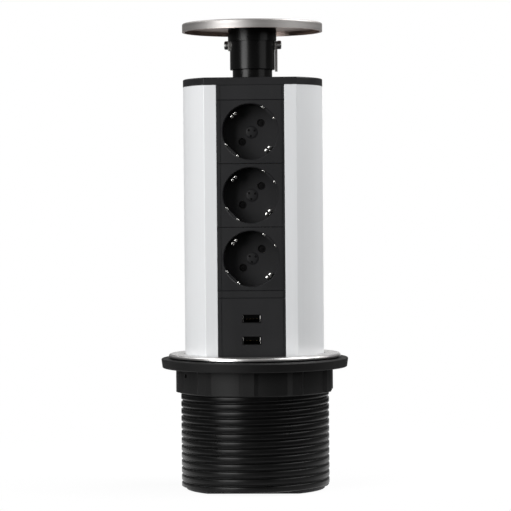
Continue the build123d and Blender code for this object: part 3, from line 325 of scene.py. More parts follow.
class Graph:
    """Node tree, with short calls for the nodes that the finishes and the studio share."""

    def __init__(self, tree: bpy.types.NodeTree) -> None:
        """Take up a tree.

        Args:
            tree: The node tree of a material or a world.
        """
        self.nodes = tree.nodes
        self.links = tree.links

    def add(self, kind: str, *values: Input, **settings: object) -> bpy.types.Node:
        """Add a node.

        Args:
            kind: The node's type.
            values: What its first inputs take.
            settings: The node's own values.

        Returns:
            The node.
        """
        node = self.nodes.new(kind)
        for name, setting in settings.items():
            setattr(node, name, setting)
        for socket, value in enumerate(values):
            self.join(value, node, socket)
        return node

    def join(self, source: Input, node: bpy.types.Node, socket: str | int) -> None:
        """Link an output to a node's input, or set the input where the source is a plain value.

        Args:
            source: The output or the value.
            node: The node that takes it.
            socket: Name or number of its input.
        """
        if isinstance(source, Socket):
            self.links.new(source, node.inputs[socket])
        else:
            node.inputs[socket].default_value = source

    def math(self, operation: str, *values: Input) -> Socket:
        """The result of a Math node on some values."""
        return self.add("ShaderNodeMath", *values, operation=operation).outputs[0]

    def vector(self, operation: str, *values: Input) -> bpy.types.Node:
        """A Vector Math node on some vectors, whose output depends on its operation."""
        return self.add("ShaderNodeVectorMath", *values, operation=operation)

    def mixed_shader(self, share: Input, low: Socket, high: Socket) -> Socket:
        """A surface between two, by the share of the second."""
        return self.add("ShaderNodeMixShader", share, low, high).outputs[0]

    def ranged(self, value: Input, low: Input, high: Input, start: float = 0.3, end: float = 0.7) -> Socket:
        """A value mapped from one range to another and kept inside it.

        Args:
            value: The value.
            low: What start becomes.
            high: What end becomes.
            start: The first range's lower end, by default for the middle of a noise.
            end: The first range's upper end.

        Returns:
            The mapped value.
        """
        node = self.add("ShaderNodeMapRange")
        for socket, source in (("Value", value), ("From Min", start), ("From Max", end), ("To Min", low),
                               ("To Max", high)):
            self.join(source, node, socket)
        return node.outputs["Result"]

    def blended(self, share: Input, low: Input, high: Input, kind: MixKind = MixKind.COLOUR) -> Socket:
        """A colour or value between two.

        Args:
            share: How much of the second there is, from 0 to 1.
            low: The first colour or value.
            high: The second.
            kind: Whether colours or values are blended.

        Returns:
            The blend.
        """
        data_type, first, second, result = kind.value
        mix = self.add("ShaderNodeMix", data_type=data_type)
        self.join(share, mix, 0)
        for source, socket in ((low, first), (high, second)):
            self.join((*source, 1) if isinstance(source, tuple) else source, mix, socket)
        return mix.outputs[result]


class Shading(Graph):
    """Material with its Principled shader and Object coordinates."""

    def __init__(self, name: str) -> None:
        """Start a material.

        Args:
            name: The material's name.
        """
        self.material = bpy.data.materials.new(name)
        self.material.use_nodes = True
        super().__init__(self.material.node_tree)
        self.shader = self.nodes["Principled BSDF"]
        self.place = self.add("ShaderNodeTexCoord").outputs["Object"]

    def stretched(self, scale: Size) -> Socket:
        """Object coordinates multiplied along each axis.

        Args:
            scale: The factors along X, Y and Z.

        Returns:
            The stretched coordinates.
        """
        mapping = self.add("ShaderNodeMapping")
        self.join(scale, mapping, "Scale")
        self.join(self.place, mapping, "Vector")
        return mapping.outputs["Vector"]

    def from_axis(self) -> tuple[Socket, Socket, Socket]:
        """Where a point lies from the Z axis.

        Returns:
            The vector from the axis, its length and the point's height.
        """
        split = self.add("ShaderNodeSeparateXYZ", self.place)
        away = self.add("ShaderNodeCombineXYZ", split.outputs["X"], split.outputs["Y"]).outputs[0]
        return away, self.vector("LENGTH", away).outputs["Value"], split.outputs["Z"]

    def round_axis(self, along: float) -> Socket:
        """Coordinates that follow circles round the Z axis.

        Args:
            along: Scale of the way round.

        Returns:
            A vector of direction, radius and height.
        """
        away, radius, height = self.from_axis()
        section = self.add("ShaderNodeCombineXYZ", radius, height, height).outputs[0]
        heading = self.vector("NORMALIZE", away).outputs[0]
        turn = self.vector("MULTIPLY_ADD", heading, (along, along, 0), section)
        return turn.outputs["Vector"]

    def noise(self, vector: Socket, scale: float, detail: float = 3.0, roughness: float = 0.5) -> Socket:
        """Noise from 0 to 1.

        Args:
            vector: The coordinates.
            scale: How many blobs fit in a unit.
            detail: How many finer layers there are.
            roughness: How strong the finer layers are.

        Returns:
            The noise.
        """
        texture = self.add("ShaderNodeTexNoise")
        for socket, source in (("Vector", vector), ("Scale", scale), ("Detail", detail),
                               ("Roughness", roughness)):
            self.join(source, texture, socket)
        return texture.outputs["Fac"]

    def bump(self, height: Socket, depth: float) -> None:
        """Give the shader a fine relief.

        Args:
            height: The relief's height from 0 to 1.
            depth: The height of 1 in metres.
        """
        bump = self.add("ShaderNodeBump")
        self.join(depth, bump, "Distance")
        self.join(height, bump, "Height")
        self.shade(Normal=bump.outputs["Normal"])

    def shade(self, **values: Input) -> None:
        """Link or set the shader's sockets, with _ for a space in their names."""
        for name, value in values.items():
            self.join(value, self.shader, name.replace("_", " "))


# Finishes


def toned(colour: Colour, factor: float) -> Colour:
    """A colour made lighter or darker by a factor."""
    return tuple(min(1.0, channel * factor) for channel in colour)


@dataclass(frozen=True)
class MouldedPlastic:
    """Moulded plastic with a fine eroded grain, faint flow marks and handling sheen."""

    name: str
    colour: Colour
    roughness: float
    grain: float = 0.35 * MM
    grain_depth: float = 0.012 * MM
    grain_roughness: float = 0.6
    specular: float = 0.5
    flow_scale: float = 60.0
    flow_detail: float = 2.0
    flow_stretch: Size = (1.0, 1.0, 0.35)
    darkest: float = 0.8
    lightest: float = 1.25
    sheen: float = 0.05

    def material(self) -> bpy.types.Material:
        """Build the material.

        Returns:
            The material.
        """
        shading = Shading(self.name)
        grain = shading.noise(shading.place, 1 / self.grain, roughness=self.grain_roughness)
        flow = shading.noise(shading.stretched(self.flow_stretch), self.flow_scale, self.flow_detail)
        colour = shading.blended(flow, toned(self.colour, self.darkest), toned(self.colour, self.lightest))
        rough = shading.ranged(flow, self.roughness - self.sheen, self.roughness + self.sheen)
        shading.shade(Base_Color=colour, Roughness=rough, Specular_IOR_Level=self.specular)
        shading.bump(grain, self.grain_depth)
        return shading.material


class Lay(Enum):
    """Direction of a metal's fine lines."""

    ROUND = "round the axis"
    UPRIGHT = "along the axis"
    LOOSE = "no direction"


@dataclass(frozen=True)
class FinishedMetal:
    """Metal with fine tool lines along one lay and soft changes of tone."""

    name: str
    colour: Colour
    roughness: float
    lay: Lay
    line: float = 0.25 * MM
    line_depth: float = 0.006 * MM
    line_roughness: float = 0.6
    tone: float = 0.08
    metallic: float = 1.0
    fine_length: float = 90.0
    broad_length: float = 240.0
    broad_scale: float = 0.3
    sheen: float = 0.06

    def lines(self, shading: Shading, length: float) -> Socket:
        """Coordinates in which the lines run along the lay.

        Args:
            shading: The material's node tree.
            length: How long the lines are, as a multiple of their width.

        Returns:
            The stretched coordinates.
        """
        if self.lay is Lay.ROUND:
            return shading.round_axis(self.line * self.broad_length / length)
        if self.lay is Lay.UPRIGHT:
            return shading.stretched((1, 1, 1 / length))
        return shading.place

    def shading(self) -> Shading:
        """Build the metal's node tree.

        Returns:
            The node tree, with the shader's colour, roughness and relief set.
        """
        shading = Shading(self.name)
        fine = shading.noise(self.lines(shading, self.fine_length), 1 / self.line,
                             roughness=self.line_roughness)
        broad = shading.noise(self.lines(shading, self.broad_length), self.broad_scale / self.line)
        mean = shading.math("MULTIPLY", shading.math("ADD", fine, broad), 0.5)
        colour = shading.blended(shading.ranged(mean, 0, 1), toned(self.colour, 1 - self.tone),
                                 toned(self.colour, 1 + self.tone))
        rough = shading.ranged(broad, self.roughness - self.sheen, self.roughness + self.sheen)
        shading.shade(Base_Color=colour, Roughness=rough, Metallic=self.metallic)
        shading.bump(fine, self.line_depth)
        return shading

    def material(self) -> bpy.types.Material:
        """Build the material."""
        return self.shading().material


@dataclass(frozen=True)
class DishSteel(FinishedMetal):
    """Turned steel of a dish, with painted shade: a darker, warmer colour and a rougher surface painted
    inside its hollow and, at part strength, on its rim's foot, where shade falls under the dish.
    """

    hollow_radius: float = 48.95 * MM
    hollow_ceiling: float = 332.6 * MM
    rim_foot: float = 329.5 * MM
    foot_shade_share: float = 0.7
    # Colour of the painted shade under the dish.
    hollow_shade_colour: Colour = (0.50, 0.41, 0.37)
    hollow_roughness: float = 0.42
    mottle_scale: float = 45.0
    mottle_dark: float = 0.6
    mottle_light: float = 1.5

    def shading(self) -> Shading:
        """Build the metal's node tree with the painted shade in the hollow and on the rim's foot.

        Returns:
            The node tree.
        """
        shading = super().shading()
        radius, height = shading.from_axis()[1:]
        # Mask of the painted shade: the whole hollow under the dish, and the rim's foot at part strength.
        hollow = shading.math("MULTIPLY", shading.math("LESS_THAN", radius, self.hollow_radius),
                              shading.math("LESS_THAN", height, self.hollow_ceiling))
        foot = shading.math("MULTIPLY", shading.math("LESS_THAN", height, self.rim_foot), self.foot_shade_share)
        inside = shading.math("MAXIMUM", hollow, foot)
        # Colour of the painted shade, mottled by noise.
        mottle = shading.noise(shading.place, self.mottle_scale)
        painted_shade = shading.blended(mottle, toned(self.hollow_shade_colour, self.mottle_dark),
                               toned(self.hollow_shade_colour, self.mottle_light))
        colour, rough = (shading.shader.inputs[name].links[0].from_socket
                         for name in ("Base Color", "Roughness"))
        shading.shade(Base_Color=shading.blended(inside, colour, painted_shade),
                      Roughness=shading.blended(inside, rough, self.hollow_roughness, MixKind.VALUE))
        return shading


Finish = MouldedPlastic | FinishedMetal

ALUMINIUM = FinishedMetal("satin_anodised_aluminium", (0.78, 0.79, 0.80), 0.5, Lay.UPRIGHT,
                          line=0.3 * MM, line_depth=0.002 * MM, tone=0.015, metallic=0.15)
# The lid's steel, with painted shade on its underside and rim foot.
LID_STEEL = DishSteel("turned_lid_steel_with_painted_shade", (0.41, 0.395, 0.385), 0.52, Lay.ROUND, tone=0.1)
TRIM_STEEL = FinishedMetal("turned_trim_steel", (0.68, 0.67, 0.66), 0.28, Lay.ROUND, tone=0.1)
PLATED_STEEL = FinishedMetal("plated_steel", (0.55, 0.55, 0.54), 0.30, Lay.LOOSE, line=0.5 * MM, tone=0.1)
STRIP_STEEL = FinishedMetal("dull_strip_steel", (0.36, 0.35, 0.34), 0.38, Lay.UPRIGHT, tone=0.12)
NICKEL = FinishedMetal("bright_nickel", (0.85, 0.84, 0.81), 0.16, Lay.LOOSE, line=0.6 * MM,
                       line_depth=0.001 * MM, tone=0.04)
BRASS = FinishedMetal("contact_brass", (0.78, 0.57, 0.26), 0.26, Lay.LOOSE, line=0.6 * MM)
# Port shells in near-black steel: painted shade of the ports' insides.
SHADED_SHELL_STEEL = FinishedMetal("port_shell_painted_shade", (0.02, 0.02, 0.02), 0.4, Lay.LOOSE, line=0.6 * MM, tone=0.1)
LIP_STEEL = FinishedMetal("port_lip_steel", (0.26, 0.255, 0.245), 0.22, Lay.LOOSE, line=0.6 * MM, tone=0.1)
CONTACT_METAL = FinishedMetal("port_contact_metal", (0.20, 0.15, 0.08), 0.3, Lay.LOOSE, line=0.6 * MM)
MODULE_PLASTIC = MouldedPlastic("module_plastic", (0.013, 0.013, 0.014), 0.50, specular=0.25)
SOCKET_PLASTIC = MouldedPlastic("socket_plastic", (0.012, 0.012, 0.013), 0.46, specular=0.25)
CAP_PLASTIC = MouldedPlastic("cap_plastic", (0.010, 0.010, 0.011), 0.48, specular=0.25)
NECK_PLASTIC = MouldedPlastic("neck_plastic", (0.002, 0.002, 0.002), 0.24, grain_depth=0.003 * MM,
                              specular=0.22)
COLLAR_PLASTIC = MouldedPlastic("collar_plastic", (0.002, 0.002, 0.002), 0.31, grain_depth=0.006 * MM,
                                specular=0.17)
CLAMP_PLASTIC = MouldedPlastic("clamp_plastic", (0.002, 0.002, 0.002), 0.58, grain_depth=0.008 * MM,
                               specular=0.29)
# Dark plastic of the shutters, also used for the discs of painted shade in the boss's pockets.
SHUTTER_AND_SHADE_PLASTIC = MouldedPlastic("shutter_and_shade_plastic", (0.003, 0.003, 0.003), 0.5, specular=0.1)
INNER_PLASTIC = MouldedPlastic("inner_plastic", (0.52, 0.52, 0.50), 0.5)
TONGUE_PLASTIC = MouldedPlastic("tongue_plastic", (0.001, 0.001, 0.001), 0.5, specular=0.03)
BOARD = MouldedPlastic("board_lacquer", (0.03, 0.16, 0.07), 0.3, grain=0.9 * MM)
RUBBER = MouldedPlastic("black_rubber", (0.016, 0.016, 0.016), 0.72, grain=0.5 * MM, grain_depth=0.02 * MM)

MATERIALS: dict[str, bpy.types.Material] = {}


def made(finish: Finish) -> bpy.types.Material:
    """The material of a finish, built once.

    Args:
        finish: The finish.

    Returns:
        Its material.
    """
    if finish.name not in MATERIALS:
        MATERIALS[finish.name] = finish.material()
    return MATERIALS[finish.name]


def dress(finishes: dict[str, Finish]) -> None:
    """Give CAD nodes their finishes through their objects' slots.

    Args:
        finishes: The finish of each node.
    """
    for name, finish in finishes.items():
        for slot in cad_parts[name].material_slots:
            slot.link = "OBJECT"
            slot.material = made(finish)
        LOG.info("%s: dressed in %s", name, finish.name)


def mount(piece: Piece, body: str, finish: Finish, replaced: str = "") -> None:
    """Dress a finished piece and fix it to a body.

    Args:
        piece: The finished piece.
        body: The CAD body that it moves with.
        finish: Its finish.
        replaced: The CAD node that it stands for, if there is one.
    """
    piece.data.materials.clear()
    piece.data.materials.append(made(finish))
    if replaced:
        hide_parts(replaced)
    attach(piece, body)
    LOG.info("%s: %d faces on %s", piece.name, len(piece.data.polygons), body)


# Sub-assemblies


@dataclass
class Collar:
    """Threaded collar with its flange, trim ring and guides."""

    crest_radius: float = 53.5 * MM
    pitch: float = 5.3 * MM
    start_angle: float = -44.0
    thread_depth: float = 1.15 * MM
    crest_width: float = 3.3 * MM
    flank_width: float = 0.7 * MM
    rising_shares: Shape = ((0.35, 0.62), (0.7, 0.22), (1.0, 0.07))
    crest_shares: tuple[float, ...] = (0.25, 0.5, 0.75)
    falling_shares: Shape = ((0.0, 0.07), (0.3, 0.22), (0.65, 0.62), (1.0, 1.0))
    spare_turns: int = 3
    seam: float = 0.01 * MM
    bore_overrun: float = 2.0 * MM
    flange_thickness: float = 0.8 * MM
    flange_edge: float = 0.2 * MM
    wall: float = 2.7 * MM
    steps: int = 120
    smooth_angle: float = 40.0
    finishes: dict[str, Finish] = field(default_factory=lambda: {
        "trim_ring": TRIM_STEEL, "front_guide_upper": COLLAR_PLASTIC, "front_guide_lower": COLLAR_PLASTIC,
        "brake_pads": RUBBER})

    def thread_outline(self) -> Outline:
        """One pitch of the thread: a broad crest with a faint crown and a narrow groove.

        Returns:
            Radius and height of each point, from one groove to the next.
        """
        crest, depth = self.crest_radius, self.thread_depth
        foot = (self.pitch - self.crest_width - 2 * self.flank_width) / 2
        base = foot + self.flank_width
        top = base + self.crest_width
        points = [(crest - depth, 0.0), (crest - depth, foot)]
        points += [(crest - depth * fall, foot + self.flank_width * rise)
                   for rise, fall in self.rising_shares]
        points += [(crest, base + self.crest_width * rise) for rise in self.crest_shares]
        points += [(crest - depth * fall, top + self.flank_width * rise)
                   for rise, fall in self.falling_shares]
        return points + [(crest - depth, self.pitch)]

    def threaded_tube(self, foot: float, top: float) -> Piece:
        """Tube with the helical thread outside and a plain bore.

        Args:
            foot: Height of the collar's lower end.
            top: Height of its upper end, over the flange.

        Returns:
            The tube, up to the flange.
        """
        turns = int((top - foot) / self.pitch) + self.spare_turns
        tube = drawn_line("collar_thread", self.thread_outline(), closed=False)
        use_modifier(tube, "SCREW", axis="Z", angle=2 * pi, screw_offset=self.pitch, iterations=turns,
                     steps=self.steps, render_steps=self.steps, use_merge_vertices=False)
        with editing(tube):
            bpy.ops.mesh.select_all(action="SELECT")
            bpy.ops.mesh.remove_doubles(threshold=self.seam)
            bpy.ops.transform.rotate(value=-radians(self.start_angle), orient_axis="Z",
                                     center_override=(0, 0, 0))
            bpy.ops.transform.translate(value=(0, 0, foot - self.pitch))
            for height, keep_above in ((foot, True), (top - self.flange_thickness, False)):
                bpy.ops.mesh.select_all(action="SELECT")
                bpy.ops.mesh.bisect(plane_co=(0, 0, height), plane_no=(0, 0, 1), use_fill=True,
                                    clear_inner=keep_above, clear_outer=not keep_above)
            bpy.ops.mesh.select_all(action="SELECT")
            bpy.ops.mesh.normals_make_consistent(inside=False)
        bore = self.crest_radius - self.wall
        low, high = foot - self.bore_overrun, top + self.bore_overrun
        cut_away(tube, turned("collar_bore", [(0, low), (bore, low), (bore, high), (0, high)], self.steps))
        return tube

    def build(self) -> None:
        """Build and dress the collar."""
        low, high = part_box("threaded_collar")
        rim, top = high.x, high.z
        base = top - self.flange_thickness
        bore = self.crest_radius - self.wall
        edge = self.flange_edge
        tube = self.threaded_tube(low.z, top)
        flange = turned("collar_flange", [(bore, base), (rim - edge, base), (rim, base + edge),
                                          (rim, top - edge), (rim - edge, top), (bore, top)], closed=True)
        collar = joined("collar_thread", [tube, flange])
        smooth(collar, self.smooth_angle)
        mount(collar, "collar", COLLAR_PLASTIC, "threaded_collar")
        dress(self.finishes)


@dataclass
class Clamp:
    """Washer and nut on the thread."""

    finishes: dict[str, Finish] = field(default_factory=lambda: {
        "clamp_washer": CLAMP_PLASTIC, "clamp_nut": CLAMP_PLASTIC})

    def build(self) -> None:
        """Dress the clamp."""
        dress(self.finishes)


@dataclass
class Tower:
    """Extruded tower with its caps, screws and inner pieces."""

    finishes: dict[str, Finish] = field(default_factory=lambda: {
        "tower_profile": ALUMINIUM, "top_cap": CAP_PLASTIC, "top_cap_screws": PLATED_STEEL,
        "lid_stem": NECK_PLASTIC, "lid_stem_screws": PLATED_STEEL, "blank_strip": MODULE_PLASTIC,
        "spacer_strip": MODULE_PLASTIC, "lower_cover": MODULE_PLASTIC, "terminal_block": INNER_PLASTIC,
        "live_busbar": BRASS, "neutral_busbar": BRASS, "earth_busbar": BRASS, "base_cap": CAP_PLASTIC,
        "stop_plate": CAP_PLASTIC, "base_screws": PLATED_STEEL, "inlet_bush": RUBBER,
        "cord_clamp": CAP_PLASTIC, "cord_clamp_screws": PLATED_STEEL})

    def build(self) -> None:
        """Dress the tower's own nodes."""
        dress(self.finishes)


@dataclass
class PopSpring:
    """Compression spring between the stem and the neck."""

    wire: float = 0.6 * MM
    wire_sides: int = 10
    turns: int = 8
    steps: int = 28

    def build(self) -> None:
        """Wind the spring and fix it to the tower."""
        low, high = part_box("pop_spring")
        length = high.z - low.z
        deselect()
        bpy.ops.mesh.primitive_circle_add(vertices=self.wire_sides, radius=self.wire, fill_type="NOTHING",
                                          location=(high.x - self.wire, 0, low.z + self.wire),
                                          rotation=(pi / 2, 0, 0))
        spring = name_piece(bpy.context.active_object, "spring_coil")
        settle(spring)
        rise = (length - 2 * self.wire) / self.turns
        use_modifier(spring, "SCREW", axis="Z", angle=2 * pi, screw_offset=rise, iterations=self.turns,
                     steps=self.steps, render_steps=self.steps)
        with editing(spring):
            pick(spring, "EDGE", lambda edge: edge.is_boundary)
            bpy.ops.mesh.edge_face_add()
        outward(spring)
        smooth(spring, SHARP_ANGLE)
        mount(spring, "tower", PLATED_STEEL, "pop_spring")
        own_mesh(spring)


@dataclass
class SocketModule:
    """One earthed round socket: its front, contact pieces and fine details."""

    name: str
    floor_depth: float = 17.5 * MM
    recess_radius: float = 19.75 * MM
    rib_rise: float = 1.5 * MM
    rib_setback: float = 1.4 * MM
    rib_width: float = 12.3 * MM
    lip_size: Size = (1.2 * MM, 2.4 * MM, 1.3 * MM)
    lip_edge: float = 0.4 * MM
    lip_inset: float = 0.5 * MM
    lip_back: float = 0.35 * MM
    lip_out: float = 0.3 * MM
    pin_spacing: float = 19.0 * MM
    pin_angle: float = 45.0
    hole_radius: float = 2.82 * MM
    shutter_thickness: float = 1.9 * MM
    shutter_shape: Shape = ((0.0, -0.15 * MM), (0.42, -0.2 * MM), (0.5, -0.9 * MM), (0.93, -0.9 * MM),
                            (1.0, -0.7 * MM))
    shutter_steps: int = 32
    cup_depth: float = 19.5 * MM
    strap_width: float = 5.0 * MM
    strap_thickness: float = 0.8 * MM
    strap_edge: float = 0.28 * MM
    strap_corner: float = 0.8 * MM
    corner_share: float = 0.3
    slit_width: float = 1.1 * MM
    slit_depth: float = 12.5 * MM
    riser_radius: float = 18.7 * MM
    shoulder_drop: float = 2.2 * MM
    nose_radius: float = 16.3 * MM
    nose_bend: float = 1.15 * MM
    nose_inset: float = 0.25 * MM
    nose_depth: float = 3.8 * MM
    nose_angles: tuple[float, ...] = (30, 55, 80, 105, 130, 155, 180)
    tip_radius: float = 15.7 * MM
    tip_depth: float = 9.5 * MM
    tip_length: float = 2.0 * MM
    tip_flare: float = 0.4 * MM
    tab_reach: float = 3.1 * MM
    tab_edge: float = 0.15 * MM
    tail_depth: float = 33.0 * MM
    boss_rise: float = 0.6 * MM
    boss_radius: float = 4.5 * MM
    boss_gap: float = 0.02 * MM
    boss_shape: Shape = ((0.0, 1.0), (3.1 * MM, 1.0), (3.7 * MM, 0.8), (4.3 * MM, 0.3))
    boss_steps: int = 64
    shank_radius: float = 1.5 * MM
    shank_depth: float = 12.5 * MM
    pocket_radius: float = 0.85 * MM
    pocket_depth: float = 1.0 * MM
    pocket_overrun: float = 2.0 * MM
    pocket_arm: float = 2.6 * MM
    pocket_angles: tuple[float, ...] = (30.0, 143.0, 259.0)
    pocket_steps: int = 24
    # Discs of painted shade on the floor of the boss's pockets.
    shade_disc_overlap: float = 0.1 * MM
    shade_disc_crown: float = 0.14 * MM
    shade_disc_rim: float = 0.05 * MM
    shade_disc_flat: float = 0.8
    shade_disc_steps: int = 20

    def place(self, angle: float, radius: float, depth: float) -> Matrix:
        """Frame in the recess: X outwards from its centre, Y round it, Z out of the front.

        Args:
            angle: Direction from the recess centre, in degrees from the right.
            radius: Distance from the centre.
            depth: Depth behind the front.

        Returns:
            The frame as a matrix.
        """
        turn = radians(angle)
        low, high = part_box("socket_" + self.name)
        across = Vector((cos(turn), 0, sin(turn)))
        around = Vector((-sin(turn), 0, cos(turn)))
        out = Vector((0, -1, 0))
        origin = Vector((0, low.y + depth, (low.z + high.z) / 2)) + across * radius
        return Matrix.Translation(origin) @ Matrix((across, around, out)).transposed().to_4x4()

    def pin_angles(self) -> tuple[float, float]:
        """Directions of the two pin holes, and of the two guide ribs."""
        return self.pin_angle, self.pin_angle + 180

    def strap_line(self) -> Outline:
        """Half of the strap's path, from its middle to a clip's tip.

        Returns:
            Radius and height over the front of each point.
        """
        riser, corner, bend = self.riser_radius, self.strap_corner, self.nose_bend
        floor = -self.cup_depth - self.strap_thickness / 2
        cut = self.corner_share * corner
        line = [(0, floor), (riser - corner, floor), (riser - cut, floor + cut), (riser, floor + corner),
                (riser, -self.slit_depth), (riser, -self.nose_depth - self.shoulder_drop)]
        centre = self.nose_radius + bend - self.nose_inset
        base = -self.nose_depth - bend
        for angle in self.nose_angles:
            line.append((centre + bend * cos(radians(angle)), base + bend * sin(radians(angle))))
        line.append((self.tip_radius, -self.tip_depth + self.tip_length))
        line.append((self.tip_radius + self.tip_flare, -self.tip_depth))
        return line

    def strap_band(self) -> Piece:
        """Bent band with a slit, sprung clip at each end.

        Returns:
            The band, which lies along X with its clips up.
        """
        half = self.strap_line()
        path = [(-radius, height) for radius, height in reversed(half[1:])] + half
        band = drawn_line("earth_strap_" + self.name, path, closed=False)
        side = (self.strap_width - self.slit_width) / 2
        with editing(band):
            bpy.ops.mesh.select_all(action="SELECT")
            bpy.ops.transform.translate(value=(0, -self.strap_width / 2, 0))
            for width in (side, self.slit_width, side):
                bpy.ops.mesh.extrude_region_move(TRANSFORM_OT_translate={"value": (0, width, 0)})
            pick(band, "FACE", lambda face: abs(face.calc_center_median().y) < self.slit_width / 4
                 and face.calc_center_median().z > -self.slit_depth)
            bpy.ops.mesh.delete(type="FACE")
            bpy.ops.mesh.select_all(action="SELECT")
            bpy.ops.mesh.normals_make_consistent(inside=False)
        use_modifier(band, "SOLIDIFY", thickness=self.strap_thickness, offset=0, use_even_offset=True)
        use_modifier(band, "BEVEL", width=self.strap_edge, segments=BLOCK_SEGMENTS, limit_method="ANGLE",
                     angle_limit=radians(SHARP_ANGLE))
        return band

    def earth_strap(self) -> Piece:
        """Band with its two clips, its tab and its tail to the busbar.

        Returns:
            The piece that stands for the CAD strap.
        """
        band = self.strap_band()
        thickness, width = self.strap_thickness, self.strap_width
        tab_start = self.riser_radius - thickness / 2
        tab_end = tab_start + self.tab_reach + thickness
        tab = rounded_block("tab", (self.tab_reach + thickness, width, thickness), self.tab_edge)
        shift_mesh(tab, ((tab_start + tab_end) / 2, 0, -self.cup_depth - thickness / 2))
        tail = rounded_block("tail", (thickness, width, self.tail_depth - self.cup_depth), self.tab_edge)
        shift_mesh(tail, (tab_end - thickness / 2, 0, -(self.tail_depth + self.cup_depth) / 2))
        strap = joined(band.name, [band, tab, tail])
        outward(strap)
        strap.matrix_world = self.place(self.pin_angle - 90, 0, 0)
        settle(strap)
        return strap

    def shutters_and_shade_discs(self) -> Piece:
        """Shutters with a ring groove that close the pin holes, and dark discs of painted shade in the boss's
        pockets.

        Returns:
            The piece.
        """
        radius, back = self.hole_radius, -self.shutter_thickness
        front = [(radius * share, height) for share, height in self.shutter_shape]
        model = turned("shutter", front + [(radius, back), (0, back)], self.shutter_steps)
        pieces = copies(model, [self.place(angle, self.pin_spacing / 2, self.floor_depth)
                                for angle in self.pin_angles()])
        # Dark, low-gloss discs in the boss's pockets: painted shade.
        wide, crown = self.pocket_radius + self.shade_disc_overlap, self.shade_disc_crown
        flat = self.pocket_radius * self.shade_disc_flat
        pocket_shade_disc = turned("pocket_shade_disc", [(0, crown), (flat, crown), (wide, self.shade_disc_rim), (wide, 0), (0, 0)],
                        self.shade_disc_steps)
        pieces += copies(pocket_shade_disc, [self.place(angle, self.pocket_arm, self.floor_depth)
                                  for angle in self.pocket_angles])
        return joined("shutters_and_shade_discs_" + self.name, pieces)

    def centre_boss(self) -> Piece:
        """Low head of the centre screw with three round pockets, on its shank.

        Returns:
            The screw.
        """
        gap, shank, depth = self.boss_gap, self.shank_radius, -self.shank_depth
        head = [(radius, share * self.boss_rise) for radius, share in self.boss_shape]
        foot = [(self.boss_radius, gap), (shank, gap), (shank, depth), (0, depth)]
        boss = turned("boss_" + self.name, head + foot, self.boss_steps)
        low, high, radius = -self.pocket_depth, self.pocket_overrun, self.pocket_radius
        for angle in map(radians, self.pocket_angles):
            pocket = turned("pocket", [(0, high), (radius, high), (radius, low), (0, low)],
                            self.pocket_steps)
            shift_mesh(pocket, (self.pocket_arm * cos(angle), self.pocket_arm * sin(angle), 0))
            cut_away(boss, pocket)
        boss.matrix_world = self.place(0, 0, self.floor_depth)
        settle(boss)
        return boss

    def rib_ends(self) -> Piece:
        """Polished lips at both ends of the two guide ribs.

        Returns:
            The piece.
        """
        model = rounded_block("rib_lip", self.lip_size, self.lip_edge)
        places = []
        for angle in self.pin_angles():
            for side in (-1, 1):
                there = self.place(angle, self.recess_radius - self.rib_rise, self.rib_setback)
                along = side * (self.rib_width / 2 - self.lip_inset)
                places.append(there @ Matrix.Translation((self.lip_back, along, self.lip_out)))
        return joined("rib_lips_" + self.name, copies(model, places))

    def build(self) -> None:
        """Build the socket's details and dress its nodes."""
        dress({"socket_" + self.name: SOCKET_PLASTIC, "socket_back_" + self.name: INNER_PLASTIC,
               "contacts_" + self.name: BRASS})
        strap, shutters_and_shade_discs, lips = self.earth_strap(), self.shutters_and_shade_discs(), self.rib_ends()
        smooth(strap, SHARP_ANGLE)
        mount(strap, "tower", NICKEL, "earth_strap_" + self.name)
        smooth(shutters_and_shade_discs)
        mount(shutters_and_shade_discs, "tower", SHUTTER_AND_SHADE_PLASTIC)
        smooth(lips, SHARP_ANGLE)
        mount(lips, "tower", NICKEL)


@dataclass
class CentreScrews:
    """The centre screws of all the sockets."""

    sockets: tuple[SocketModule, ...]

    def build(self) -> None:
        """Build the screws' heads and shanks as one piece."""
        screws = joined("centre_screws", [socket.centre_boss() for socket in self.sockets])
        smooth(screws)
        mount(screws, "tower", SOCKET_PLASTIC, "socket_screws")


